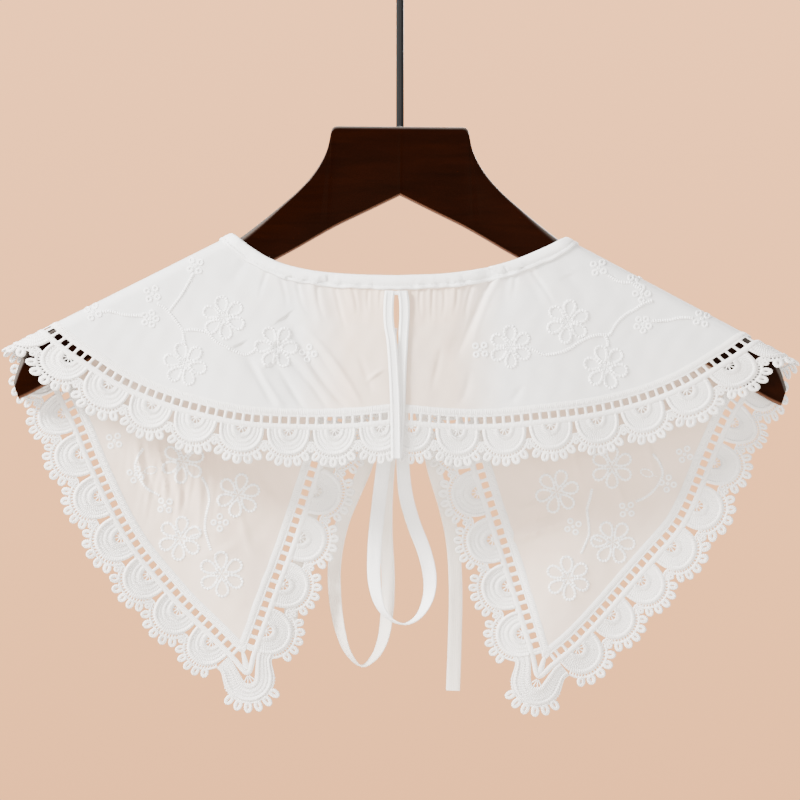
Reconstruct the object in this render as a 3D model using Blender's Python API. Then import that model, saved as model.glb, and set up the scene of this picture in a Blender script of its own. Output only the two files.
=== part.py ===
"""A white embroidered cape collar with a lace edge, hanging back to front on a dark wooden hanger.

Every table is in millimetres. x runs across from the centre plane and drop runs down from the
top edge of the wood. The origin is the seat under the hook's bend, where a rail carries it.
Each half of the collar is laid out flat first: along is measured outwards on the shoulder ridge
and across is measured square to it, above zero on the back and below zero on the front. One
function then folds that flat cloth over the hanger's arm, and every piece is made through it.
"""
import math
from collections import namedtuple

import bmesh
import bpy
import numpy as np

MM = 0.001
WOOD_BELOW_SEAT = 118.0

# Cloth, lace and tape
CLOTH_WALL = 1.1
LACE_WALL = 1.4
SEAM_GAP = 0.3
RIDGE_RADIUS = 7.0
BACK_STEEP = math.radians(84.0)
FRONT_STEEP = math.radians(87.0)
CENTRE_SOFTNESS = 30.0
BINDING_HALF = 4.0
PLACKET_WIDTH = 6.2
TAPE_WIDTH = 8.0
TAPE_WALL = 1.0
TAPE_AT_KNOT = 0.55
TAPE_STEP = 9.0

# The neck binding's section, as offset across it and lift out of the cloth, and its cuts
# across the shoulder ridge, where it bends
BINDING_SECTION = [(-4.0, -0.55), (-4.0, 0.6), (-2.4, 1.6), (2.4, 1.6), (4.0, 0.6), (4.0, -0.55)]
BINDING_BEND = (12.0, 9.0, 6.0, 3.0, 0.0, -3.0, -6.0, -9.0, -12.0)
BINDING_BACK_CUTS = 13
BINDING_FRONT_CUTS = 10

# Lace, outwards from the middle of its row of holes
LACE_INSIDE = -4.2
HOLE_INSIDE = -2.0
HOLE_OUTSIDE = 1.9
LACE_VALLEY = 18.0
BACK_CREST = 26.0
FRONT_CREST = 27.5
PANEL_INSIDE = -4.5
FIRST_FAN_FROM_SEAM = 8.6
LAST_FAN_FROM_TIP = 21.7
CORNER_CUT = 8.3
TIP_EYELET = 9.7
TIP_RADIUS = 18.3
TIP_SWEEP = math.radians(112.0)
TIP_SECTIONS = 12
TIP_SHOULDER = 13.0
TIP_GAP = 0.36
TIP_LOOK_BACK = 6.0
PLACKET_COVERS = 6.5
FRONT_CLEAR = 1.0
INNER_CLEAR = 2.0
HOLE_CLEAR = 1.5
LEAN_LENGTH = 60.0
BEND_REACH = 13.0
BEND_STEP = 2.3

# Hanger
WOOD_HALF = 5.6
WOOD_TILT = 0.0087
WOOD_EDGE = 1.8
ARM_ROUNDING = 5.3
UNDER_ROUNDING = 2.4
ARM_SEAT = 1.25
JOINT_HALF_GAP = 0.15
WIRE_RADIUS = 2.2
HOOK_INSIDE = 19.0
HOOK_STRAIGHT = 74.0
HOOK_SWEEP = math.radians(205.0)
HOOK_NECK_STEPS = 10
HOOK_BEND_STEPS = 18
WIRE_SIDES = 8

Fan = namedtuple("Fan", "pitch holes hole crest")
BACK_FAN = Fan(pitch=25.9, holes=5, hole=3.6, crest=BACK_CREST)
FRONT_FAN = Fan(pitch=26.9, holes=5, hole=3.6, crest=FRONT_CREST)
INNER_FAN = Fan(pitch=28.3, holes=5, hole=3.8, crest=FRONT_CREST)

Spot = namedtuple("Spot", "x drop")
Fold = namedtuple("Fold", "x drop to_x to_drop width depth")
Half = namedtuple("Half", "name neck tip back_neck front_neck back_hem front_hem inner folds")
Wood = namedtuple("Wood", "top_x top_drop under_x under_drop rounding")
Tape = namedtuple("Tape", "x drop y turn width")
Strip = namedtuple("Strip", "x drop lift")

LEFT = Half(
    name="left",
    neck=Spot(-101.3, 64.3),
    tip=Spot(-227.6, 127.5),
    back_neck=[
        Spot(-1.1, 88.8),
        Spot(-25.6, 88.2),
        Spot(-49.8, 86.0),
        Spot(-69.4, 81.2),
        Spot(-83.1, 74.3),
        Spot(-98.7, 63.0),
    ],
    front_neck=[
        Spot(-88.0, 82.0),
        Spot(-64.0, 101.0),
        Spot(-35.0, 113.5),
        Spot(-2.0, 118.5),
    ],
    back_hem=[
        Spot(-2.45, 164.2),
        Spot(-31.3, 166.7),
        Spot(-65.4, 166.7),
        Spot(-89.9, 165.0),
        Spot(-116.1, 159.3),
        Spot(-137.7, 152.5),
        Spot(-158.5, 143.4),
        Spot(-177.0, 131.7),
        Spot(-192.0, 121.2),
    ],
    front_hem=[
        Spot(-199.5, 131.0),
        Spot(-190.5, 153.6),
        Spot(-182.6, 170.4),
        Spot(-174.1, 191.5),
        Spot(-158.5, 224.8),
        Spot(-147.9, 241.8),
        Spot(-135.4, 257.2),
        Spot(-121.8, 272.6),
        Spot(-107.5, 286.4),
        Spot(-88.8, 305.0),
    ],
    inner=[
        Spot(-25.5, 116.0),
        Spot(-50.1, 195.2),
        Spot(-64.3, 238.4),
        Spot(-75.6, 268.5),
        Spot(-88.8, 305.0),
    ],
    folds=[
        Fold(-62.0, 89.0, -55.0, 112.0, 3.6, 0.9),
        Fold(-53.5, 91.0, -48.0, 118.0, 3.0, 1.0),
        Fold(-41.0, 92.0, -28.0, 126.0, 4.6, 1.7),
        Fold(-33.0, 92.0, -27.0, 112.0, 2.6, 0.8),
        Fold(-21.5, 92.5, -20.5, 116.0, 2.6, 0.9),
        Fold(-15.0, 92.5, -14.5, 113.0, 2.2, 0.7),
        Fold(-88.0, 76.0, -97.0, 92.0, 3.4, 0.9),
        Fold(-70.0, 138.0, -50.0, 162.0, 4.0, 1.1),
        Fold(-66.0, 128.0, -44.0, 158.0, 4.0, 1.1),
        Fold(-61.0, 115.0, -28.0, 160.0, 5.0, 1.2),
        Fold(-89.0, 128.0, -74.0, 156.0, 4.5, 1.0),
    ],
)

RIGHT = Half(
    name="right",
    neck=Spot(100.1, 66.6),
    tip=Spot(227.6, 134.3),
    back_neck=[
        Spot(-1.1, 88.8),
        Spot(29.0, 87.4),
        Spot(54.1, 83.1),
        Spot(76.8, 75.4),
        Spot(96.9, 65.3),
    ],
    front_neck=[
        Spot(87.0, 84.0),
        Spot(63.0, 102.5),
        Spot(34.0, 114.0),
        Spot(1.0, 118.5),
    ],
    back_hem=[
        Spot(-2.05, 164.2),
        Spot(28.5, 166.7),
        Spot(50.1, 166.9),
        Spot(82.5, 164.1),
        Spot(110.4, 160.3),
        Spot(138.3, 153.4),
        Spot(159.3, 145.1),
        Spot(179.2, 133.5),
        Spot(191.2, 125.6),
    ],
    front_hem=[
        Spot(200.5, 137.0),
        Spot(185.5, 165.0),
        Spot(177.0, 183.5),
        Spot(164.4, 214.4),
        Spot(157.0, 227.6),
        Spot(144.0, 242.8),
        Spot(132.6, 255.9),
        Spot(109.2, 282.6),
        Spot(96.7, 295.0),
        Spot(81.4, 307.3),
    ],
    inner=[
        Spot(24.0, 116.0),
        Spot(46.1, 195.2),
        Spot(58.6, 234.4),
        Spot(71.1, 273.8),
        Spot(81.4, 307.3),
    ],
    folds=[
        Fold(8.0, 92.5, 8.5, 112.0, 2.2, 0.7),
        Fold(14.5, 92.5, 15.5, 116.0, 2.4, 0.9),
        Fold(22.0, 92.0, 21.0, 120.0, 2.6, 0.9),
        Fold(28.0, 91.5, 26.0, 112.0, 2.4, 0.7),
        Fold(49.0, 88.0, 27.0, 138.0, 5.2, 1.9),
        Fold(37.0, 90.0, 33.0, 116.0, 2.6, 0.9),
        Fold(61.0, 84.0, 58.0, 104.0, 3.0, 1.0),
        Fold(72.0, 84.0, 88.0, 112.0, 3.6, 0.8),
        Fold(98.0, 88.0, 112.0, 112.0, 4.5, 0.7),
    ],
)

# Shallow waves that the whole cloth hangs in: where each crest starts and how far apart they lie
BACK_WAVE = 1.0
BACK_WAVE_LENGTH = 92.0
FRONT_WAVE = 1.8
FRONT_WAVE_LENGTH = 74.0

# Half a hanger, from the joint to the tip; rows with no top drop lie under the cloth's ridge
WOOD_ROWS = [
    Wood(0.0, 0.0, 0.0, 39.0, WOOD_EDGE),
    Wood(20.0, 0.0, 20.0, 48.8, WOOD_EDGE),
    Wood(36.4, 0.0, 38.7, 58.0, WOOD_EDGE),
    Wood(38.8, 2.2, 42.5, 60.1, WOOD_EDGE),
    Wood(41.2, 12.6, 47.5, 63.0, WOOD_EDGE),
    Wood(44.8, 20.6, 53.0, 66.2, WOOD_EDGE),
    Wood(50.3, 28.7, 58.5, 69.4, WOOD_EDGE),
    Wood(57.5, 36.6, 65.0, 73.0, WOOD_EDGE),
    Wood(66.0, 44.1, 73.0, 77.4, 2.4),
    Wood(79.2, 54.9, 85.0, 83.9, 4.4),
    Wood(91.0, 63.8, 96.0, 89.9, 5.2),
    Wood(100.5, 69.4, 107.0, 96.0, ARM_ROUNDING),
    Wood(113.0, None, 121.0, 103.7, ARM_ROUNDING),
    Wood(142.0, None, 140.0, 114.3, ARM_ROUNDING),
    Wood(172.0, None, 165.0, 128.3, ARM_ROUNDING),
    Wood(197.0, None, 190.0, 142.3, ARM_ROUNDING),
    Wood(206.5, None, 199.5, 147.7, 5.0),
    Wood(212.8, 129.0, 206.5, 151.7, 4.6),
    Wood(217.0, 138.0, 211.5, 154.4, 4.0),
    Wood(219.6, 147.0, 216.5, 156.7, 3.2),
]

# Stitched strips on both sides of the centre-back slit
PLACKET_LEFT = [
    Strip(-5.7, 93.6, 1.05),
    Strip(-6.2, 107.0, 1.05),
    Strip(-5.9, 114.0, 1.30),
    Strip(-4.8, 121.2, 2.50),
    Strip(-3.4, 140.0, 2.50),
    Strip(-2.6, 158.8, 2.50),
    Strip(-2.1, 188.6, 2.50),
]
PLACKET_RIGHT = [
    Strip(1.9, 93.6, 1.05),
    Strip(2.5, 107.0, 1.05),
    Strip(1.7, 121.2, 1.05),
    Strip(0.7, 140.0, 1.05),
    Strip(0.0, 158.8, 1.05),
    Strip(-1.8, 188.3, 1.05),
]

# Tie tapes at the centre front; turn is how far the tape's width has rolled out of the front plane
KNOT = Tape(-1.0, 133.0, 22.0, 0.0, 1.0)
KNOT_RADII = (6.6, 6.4, 5.6)
TIE_LEFT = [
    Tape(-6.4, 118.0, 13.7, 0.0, 0.9),
    Tape(-5.8, 122.6, 16.6, 0.0, 0.7),
    Tape(-4.6, 127.3, 20.4, 0.0, TAPE_AT_KNOT),
]
TIE_RIGHT = [
    Tape(5.0, 118.0, 13.7, 0.0, 0.9),
    Tape(4.2, 122.6, 16.6, 0.0, 0.7),
    Tape(2.6, 127.3, 20.4, 0.0, TAPE_AT_KNOT),
]
LOOP_NEAR = [
    Tape(-3.6, 139.0, 20.6, 0.0, TAPE_AT_KNOT),
    Tape(-5.6, 155.0, 17.0, 0.0, 0.9),
    Tape(-9.2, 190.0, 16.0, 0.0, 1.0),
    Tape(-12.2, 215.0, 16.0, 0.0, 1.0),
    Tape(-14.6, 240.0, 16.6, 8.0, 1.0),
    Tape(-14.6, 260.0, 17.4, 26.0, 1.0),
    Tape(-11.2, 274.0, 18.4, 56.0, 1.0),
    Tape(-4.6, 281.6, 19.0, 78.0, 1.0),
    Tape(2.6, 283.8, 19.4, 90.0, 1.0),
    Tape(10.0, 280.0, 19.4, 108.0, 1.0),
    Tape(15.8, 270.0, 19.0, 136.0, 1.0),
    Tape(17.2, 258.0, 18.6, 160.0, 1.0),
    Tape(14.2, 243.0, 18.2, 176.0, 1.0),
    Tape(7.8, 226.0, 18.0, 180.0, 1.0),
    Tape(3.4, 210.0, 17.8, 180.0, 1.0),
    Tape(1.6, 190.0, 17.8, 180.0, 0.9),
    Tape(1.9, 155.0, 18.8, 180.0, 0.7),
    Tape(1.3, 139.0, 20.6, 180.0, TAPE_AT_KNOT),
]
LOOP_FAR = [
    Tape(-4.6, 138.8, 24.6, 0.0, TAPE_AT_KNOT),
    Tape(-9.6, 160.0, 27.0, 0.0, 0.9),
    Tape(-19.8, 193.5, 28.0, 0.0, 1.0),
    Tape(-26.4, 209.0, 28.0, 4.0, 1.0),
    Tape(-33.2, 226.0, 28.0, 8.0, 1.0),
    Tape(-37.4, 247.0, 27.6, 14.0, 1.0),
    Tape(-37.4, 268.0, 27.4, 26.0, 1.0),
    Tape(-34.6, 287.0, 27.2, 44.0, 1.0),
    Tape(-29.6, 301.0, 27.0, 66.0, 1.0),
    Tape(-22.2, 308.4, 27.0, 90.0, 1.0),
    Tape(-14.6, 303.0, 27.0, 116.0, 1.0),
    Tape(-9.8, 293.0, 27.0, 138.0, 1.0),
    Tape(-7.4, 277.0, 27.0, 154.0, 1.0),
    Tape(-6.8, 258.0, 27.0, 166.0, 1.0),
    Tape(-8.2, 231.0, 26.8, 176.0, 1.0),
    Tape(-7.4, 200.0, 26.4, 180.0, 1.0),
    Tape(-2.4, 165.0, 25.8, 180.0, 0.8),
    Tape(0.9, 138.8, 24.6, 180.0, TAPE_AT_KNOT),
]
END_RIGHT = [
    Tape(6.2, 136.0, 21.4, 0.0, TAPE_AT_KNOT),
    Tape(11.0, 156.0, 20.8, 0.0, 0.9),
    Tape(19.6, 195.0, 20.4, 0.0, 1.0),
    Tape(26.2, 217.0, 20.4, 0.0, 1.0),
    Tape(30.2, 236.0, 20.4, -8.0, 1.0),
    Tape(31.9, 262.0, 20.4, -14.0, 1.0),
    Tape(31.5, 290.0, 20.6, -8.0, 1.0),
    Tape(30.4, 322.0, 20.8, 4.0, 1.0),
]
END_LEFT = [
    Tape(-8.0, 135.6, 19.6, 0.0, TAPE_AT_KNOT),
    Tape(-20.0, 152.0, 24.6, 0.0, 0.9),
    Tape(-38.0, 186.0, 26.6, 0.0, 1.0),
    Tape(-48.0, 212.0, 27.4, 4.0, 1.0),
    Tape(-56.0, 240.0, 28.2, 8.0, 1.0),
    Tape(-61.5, 268.0, 29.0, 4.0, 1.0),
    Tape(-64.0, 292.0, 29.6, 0.0, 1.0),
]

# How far down each section of a panel its rows lie, closest where the gathers are
PANEL_ROWS = [0.0, 0.05, 0.12, 0.22, 0.34, 0.48, 0.64, 0.82, 1.0]
BACK_SECTIONS = 30
FRONT_SECTIONS = 13
RIDGE_STEPS = [12.5, 9.5, 6.4, 3.2, 0.0, -3.2, -6.4, -9.5, -12.5]

WHITE_COTTON = ((0.86, 0.85, 0.83), 0.82, 0.0)
WHITE_LACE = ((0.88, 0.87, 0.85), 0.75, 0.0)
DARK_WOOD = ((0.030, 0.010, 0.006), 0.32, 0.0)
DARK_WIRE = ((0.045, 0.042, 0.040), 0.35, 0.9)


def clear_scene():
    for item in list(bpy.data.objects):
        bpy.data.objects.remove(item, do_unlink=True)


def make_material(name, look):
    colour, roughness, metallic = look
    material = bpy.data.materials.new(name)
    material.use_nodes = True
    shader = material.node_tree.nodes["Principled BSDF"]
    shader.inputs["Base Color"].default_value = (*colour, 1.0)
    shader.inputs["Roughness"].default_value = roughness
    shader.inputs["Metallic"].default_value = metallic
    return material


def add_mesh(name, points, faces, look, sharp=40.0):
    """A named object from points in millimetres, with its faces turned outwards."""
    mesh = bpy.data.meshes.new(name)
    body = bmesh.new()
    corners = [body.verts.new(np.asarray(point) * MM) for point in points]
    for face in faces:
        body.faces.new([corners[i] for i in face])
    bmesh.ops.recalc_face_normals(body, faces=body.faces)
    body.to_mesh(mesh)
    body.free()
    mesh.shade_smooth()
    mesh.set_sharp_from_angle(angle=math.radians(sharp))
    mesh.materials.append(make_material(name, look))
    thing = bpy.data.objects.new(name, mesh)
    bpy.context.scene.collection.objects.link(thing)
    return thing


def ridge_frame(half):
    """The ridge's start, its direction outwards and the direction square to it, as x and drop."""
    start = np.array(half.neck)
    ahead = np.array(half.tip) - start
    ahead /= np.linalg.norm(ahead)
    side = 1.0 if ahead[0] < 0.0 else -1.0
    return start, ahead, np.array([ahead[1], -ahead[0]]) * side


def relief(half, x, drop, across):
    """How far the cloth stands out of its plain fold: gathers, drag folds and slow waves."""
    height = np.zeros_like(x)
    for fold in half.folds:
        way = np.array([fold.to_x - fold.x, fold.to_drop - fold.drop])
        length = np.linalg.norm(way)
        way /= length
        here = (x - fold.x) * way[0] + (drop - fold.drop) * way[1]
        aside = (x - fold.x) * way[1] - (drop - fold.drop) * way[0]
        reach = np.clip(here / length, -0.15, 1.0)
        fade = np.where(here / length < -0.15, 0.0, np.cos(reach * math.pi / 2.0) ** 1.2)
        height -= fold.depth * fade * np.exp(-((aside / fold.width) ** 2))
    low = np.clip((drop - 90.0) / 75.0, 0.0, 1.3)
    height += BACK_WAVE * low * np.cos(math.tau * (x + 8.0) / BACK_WAVE_LENGTH)
    front = FRONT_WAVE * np.clip((drop - 110.0) / 120.0, 0.0, 1.0)
    front = front * np.cos(math.tau * (np.abs(x) + 0.35 * drop) / FRONT_WAVE_LENGTH)
    settle = np.clip((np.abs(across) - 10.0) / 18.0, 0.0, 1.0)
    settle = settle * settle * (3.0 - 2.0 * settle)
    return np.where(across > 0.0, height, front) * settle


def plain_fold(half, along, across):
    """The flat cloth bent over the arm, with no relief: x, drop, y and the way out of it."""
    start, ahead, square = ridge_frame(half)
    steep = np.where(across > 0.0, BACK_STEEP, FRONT_STEEP)
    facing = np.where(across > 0.0, -1.0, 1.0)
    bend = np.minimum(np.abs(across) / RIDGE_RADIUS, steep)
    run = np.abs(across) - RIDGE_RADIUS * bend
    fall = RIDGE_RADIUS * (1.0 - np.cos(bend)) + run * np.sin(bend)
    out = RIDGE_RADIUS * np.sin(bend) + run * np.cos(bend)
    x = start[0] + along * ahead[0] + fall * square[0]
    drop = start[1] + along * ahead[1] + fall * square[1]
    soft = math.cos(BACK_STEEP) * abs(square[0])
    centre = np.where(across > 0.0, soft * (np.hypot(x, CENTRE_SOFTNESS) - np.abs(x)), 0.0)
    normal = np.stack([-np.cos(bend) * square[0], facing * np.sin(bend), np.cos(bend) * square[1]], -1)
    return x, drop, facing * out + centre, normal


def draped(half, along, across):
    x, drop, y, normal = plain_fold(half, along, across)
    height = relief(half, x, drop, across)
    place = np.stack([x, y, -WOOD_BELOW_SEAT - drop], -1)
    return place + normal * height[..., None]


def surface(half, flat, lift=0.0):
    """Points of the hanging cloth for flat places, moved out of it by lift."""
    flat = np.asarray(flat, float)
    along, across = flat[..., 0], flat[..., 1]
    small = 0.3
    here = draped(half, along, across)
    ahead = draped(half, along + small, across) - draped(half, along - small, across)
    aside = draped(half, along, across + small) - draped(half, along, across - small)
    normal = np.cross(ahead, aside)
    normal /= np.linalg.norm(normal, axis=-1, keepdims=True)
    rough = plain_fold(half, along, across)[3]
    normal *= np.sign(np.sum(normal * rough, -1, keepdims=True))
    return here + normal * np.asarray(lift, float)[..., None]


def flat_of(half, spots, back=True):
    """Flat places of spots that are seen on the hanging cloth's back or front."""
    start, ahead, square = ridge_frame(half)
    steep = BACK_STEEP if back else FRONT_STEEP
    flat = []
    for spot in spots:
        from_neck = np.array([spot[0], spot[1]]) - start
        fall = max(float(from_neck @ square), 0.0)
        bent = RIDGE_RADIUS * (1.0 - math.cos(steep))
        if fall < bent:
            across = RIDGE_RADIUS * math.acos(1.0 - fall / RIDGE_RADIUS)
        else:
            across = RIDGE_RADIUS * steep + (fall - bent) / math.sin(steep)
        flat.append((float(from_neck @ ahead), across if back else -across))
    return flat


def smooth(rows, step, place=2):
    """A centripetal curve through the rows; their first columns are the place."""
    rows = np.array(rows, float)
    ends = np.vstack([2.0 * rows[0] - rows[1], rows, 2.0 * rows[-1] - rows[-2]])
    curve = []
    for i in range(1, len(ends) - 2):
        knots = [0.0]
        for k in range(i - 1, i + 2):
            knots.append(knots[-1] + np.linalg.norm(ends[k + 1, :place] - ends[k, :place]) ** 0.5)
        p0, p1, p2, p3 = ends[i - 1 : i + 3]
        t0, t1, t2, t3 = knots
        count = max(1, round(float(np.linalg.norm(p2[:place] - p1[:place])) / step))
        for k in range(count):
            t = t1 + (t2 - t1) * k / count
            a1 = (t1 - t) / (t1 - t0) * p0 + (t - t0) / (t1 - t0) * p1
            a2 = (t2 - t) / (t2 - t1) * p1 + (t - t1) / (t2 - t1) * p2
            a3 = (t3 - t) / (t3 - t2) * p2 + (t - t2) / (t3 - t2) * p3
            b1 = (t2 - t) / (t2 - t0) * a1 + (t - t0) / (t2 - t0) * a2
            b2 = (t3 - t) / (t3 - t1) * a2 + (t - t1) / (t3 - t1) * a3
            curve.append((t2 - t) / (t2 - t1) * b1 + (t - t1) / (t2 - t1) * b2)
    curve.append(rows[-1])
    return np.array(curve)


def lengths(curve, place=2):
    steps = np.linalg.norm(np.diff(curve[:, :place], axis=0), axis=1)
    return np.concatenate([[0.0], np.cumsum(steps)])


def at(curve, distance, place=2):
    """Rows of a curve at distances along it."""
    marks = lengths(curve, place)
    columns = [np.interp(distance, marks, curve[:, k]) for k in range(curve.shape[1])]
    return np.stack(columns, -1)


def beside(curve, distance, offset, turn=1.0):
    """Flat places at distances along a flat curve, offset square to it."""
    distance = np.asarray(distance, float)
    total = lengths(curve)[-1]
    before = np.clip(distance - 2.0, 0.0, total - 4.0)
    way = at(curve, before + 4.0) - at(curve, before)
    way /= np.linalg.norm(way, axis=-1, keepdims=True)
    normal = np.stack([-way[..., 1], way[..., 0]], -1) * turn
    return at(curve, distance) + normal * np.asarray(offset, float)[..., None]


def moved(curve, offset, turn=1.0):
    return beside(curve, lengths(curve), np.full(len(curve), offset), turn)


def crossing(one, other):
    """Distances along two flat curves to where they cross."""
    one_marks, other_marks = lengths(one), lengths(other)
    for i in range(len(one) - 1):
        first = one[i + 1] - one[i]
        second = np.diff(other, axis=0)
        gap = other[:-1] - one[i]
        scale = first[0] * second[:, 1] - first[1] * second[:, 0]
        scale = np.where(np.abs(scale) < 1e-12, 1e-12, scale)
        t = (gap[:, 0] * second[:, 1] - gap[:, 1] * second[:, 0]) / scale
        u = (gap[:, 0] * first[1] - gap[:, 1] * first[0]) / scale
        hits = np.nonzero((t >= 0.0) & (t <= 1.0) & (u >= 0.0) & (u <= 1.0))[0]
        if len(hits):
            k = hits[0]
            first_at = one_marks[i] + t[k] * (one_marks[i + 1] - one_marks[i])
            return first_at, other_marks[k] + u[k] * (other_marks[k + 1] - other_marks[k])
    raise ValueError("the curves do not cross")


def mark_across(curve, across):
    """Distance along a flat curve to where it reaches a given place across the ridge."""
    marks = lengths(curve)
    return float(np.interp(-across, -curve[:, 1], marks))


def flat_lines(half):
    """The neckline, the hem's row of holes and the front edge's row of holes, laid out flat."""
    neck = flat_of(half, half.back_neck) + flat_of(half, half.front_neck, back=False)
    hem = flat_of(half, half.back_hem) + flat_of(half, half.front_hem, back=False)
    inner = flat_of(half, half.inner, back=False)
    return smooth(neck, 1.0), smooth(hem, 1.0), smooth(inner, 1.0)


def wall_of(outer, inner, cells):
    """Points and faces of a closed wall between two grids, with a hole at each empty cell."""
    rows, columns = outer.shape[:2]
    index = {}
    points = []

    def corner(side, i, j):
        if (side, i, j) not in index:
            index[side, i, j] = len(points)
            points.append((outer if side else inner)[i, j])
        return index[side, i, j]

    faces = []
    for i in range(rows - 1):
        for j in range(columns - 1):
            if not cells[i, j]:
                continue
            ring = [(i, j), (i, j + 1), (i + 1, j + 1), (i + 1, j)]
            faces.append([corner(1, *c) for c in ring])
            faces.append([corner(0, *c) for c in reversed(ring)])
            beyond = [(i - 1, j), (i, j + 1), (i + 1, j), (i, j - 1)]
            for k in range(4):
                m, n = beyond[k]
                if 0 <= m < rows - 1 and 0 <= n < columns - 1 and cells[m, n]:
                    continue
                first, second = ring[k], ring[(k + 1) % 4]
                rim = [corner(1, *second), corner(1, *first)]
                faces.append(rim + [corner(0, *first), corner(0, *second)])
    return points, faces


def ring_solid(rings):
    """Points and faces of a closed solid lofted through rings of equal size."""
    rings = np.asarray(rings)
    count, size = rings.shape[:2]
    faces = [list(range(size)), [(count - 1) * size + k for k in reversed(range(size))]]
    for i in range(count - 1):
        for k in range(size):
            low, high = i * size + k, i * size + (k + 1) % size
            faces.append([low, high, high + size, low + size])
    return rings.reshape(-1, 3), faces


def panel(half):
    """One half of the cape: a single cloth from the centre back over the arm to the front point."""
    neck, hem, inner = flat_lines(half)
    top = moved(neck, BINDING_HALF + SEAM_GAP)
    edge = moved(hem, PANEL_INSIDE)
    front = moved(inner, PANEL_INSIDE, -1.0)
    top_end = crossing(top, front)[0]
    edge_end = crossing(edge, front)[0]
    tops = []
    edges = []
    back_top, back_edge = mark_across(top, RIDGE_STEPS[0]), mark_across(edge, RIDGE_STEPS[0])
    for k in range(BACK_SECTIONS):
        share = k / BACK_SECTIONS
        tops.append(back_top * (1.0 - (1.0 - share) ** 1.25))
        edges.append(back_edge * (1.0 - (1.0 - share) ** 1.12))
    for across in RIDGE_STEPS:
        tops.append(mark_across(top, across))
        edges.append(mark_across(edge, across))
    front_top, front_edge = tops[-1], edges[-1]
    for k in range(1, FRONT_SECTIONS + 1):
        share = k / FRONT_SECTIONS
        tops.append(front_top + (top_end - front_top) * share)
        edges.append(front_edge + (edge_end - front_edge) * share)
    start, end = at(top, tops), at(edge, edges)
    rows = np.array(PANEL_ROWS)[:, None, None]
    flat = start[None] * (1.0 - rows) + end[None] * rows
    outer = surface(half, flat, CLOTH_WALL / 2.0)
    inside = surface(half, flat, -CLOTH_WALL / 2.0)
    cells = np.ones((flat.shape[0] - 1, flat.shape[1] - 1), bool)
    add_mesh(f"panel_{half.name}", *wall_of(outer, inside, cells), WHITE_COTTON)


def scallop(distance, centre, pitch, crest):
    """How far out the lace reaches at a distance along it, with a fan at every pitch."""
    turns = (np.asarray(distance) - centre) / pitch
    away = 2.0 * np.abs(turns - np.round(turns))
    return LACE_VALLEY + (crest - LACE_VALLEY) * np.sqrt(np.maximum(1.0 - away**2, 0.0))


def closer_at_ridge(curve, stops):
    """Distances along a flat curve, with more of them where the cloth bends over the arm."""
    close = []
    for low, high in zip(stops, stops[1:]):
        pieces = 1
        if abs(at(curve, (low + high) / 2.0)[1]) < BEND_REACH:
            pieces = math.ceil((high - low) / BEND_STEP)
        close += [low + (high - low) * k / pieces for k in range(pieces)]
    return close + [stops[-1]]


def lean_to(curve, distance, way, turn=1.0):
    """How far a column at this distance shifts along the curve for each unit out, to lie along way."""
    ahead = at(curve, distance + 2.0) - at(curve, max(distance - 2.0, 0.0))
    square = np.array([-ahead[1], ahead[0]]) * turn
    return -(square[0] * way[1] - square[1] * way[0]) / (ahead[0] * way[1] - ahead[1] * way[0])


def lace(name, half, curve, start, end, centre, pitch, fan, clear, leans, turn=1.0):
    """A lace strip beside a flat curve, with a row of holes and a scalloped outer edge.

    Its columns are square to the curve, but lean over by an amount around each place in leans.
    """
    step, hole = pitch / fan.holes, fan.hole
    first = math.ceil((start + clear + hole / 2.0 - centre) / step - 0.5)
    stops = [start]
    holes_here = []
    middle = centre + (first + 0.5) * step
    while middle + hole / 2.0 < end - HOLE_CLEAR:
        holes_here.append((middle - hole / 2.0, middle + hole / 2.0))
        stops += holes_here[-1]
        middle += step
    stops = np.array(closer_at_ridge(curve, stops + [end]))
    between = (stops[:-1] + stops[1:]) / 2.0
    opened = np.array([any(low < place < high for low, high in holes_here) for place in between])
    leaning = sum(lean * np.clip(1.0 - np.abs(stops - place) / LEAN_LENGTH, 0.0, 1.0)
                  for place, lean in leans)
    outside = np.full(len(stops), LACE_VALLEY)
    for _ in range(8):
        outside = (outside + scallop(stops + leaning * outside, centre, pitch, fan.crest)) / 2.0
    rows = []
    for offset in (LACE_INSIDE, HOLE_INSIDE, HOLE_OUTSIDE, outside):
        offset = offset + np.zeros(len(stops))
        rows.append(beside(curve, stops + leaning * offset, offset, turn))
    flat = np.array(rows)
    cells = np.ones((3, len(stops) - 1), bool)
    cells[1, opened] = False
    outer = surface(half, flat, LACE_WALL / 2.0)
    inside = surface(half, flat, -LACE_WALL / 2.0)
    add_mesh(name, *wall_of(outer, inside, cells), WHITE_LACE)


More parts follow.
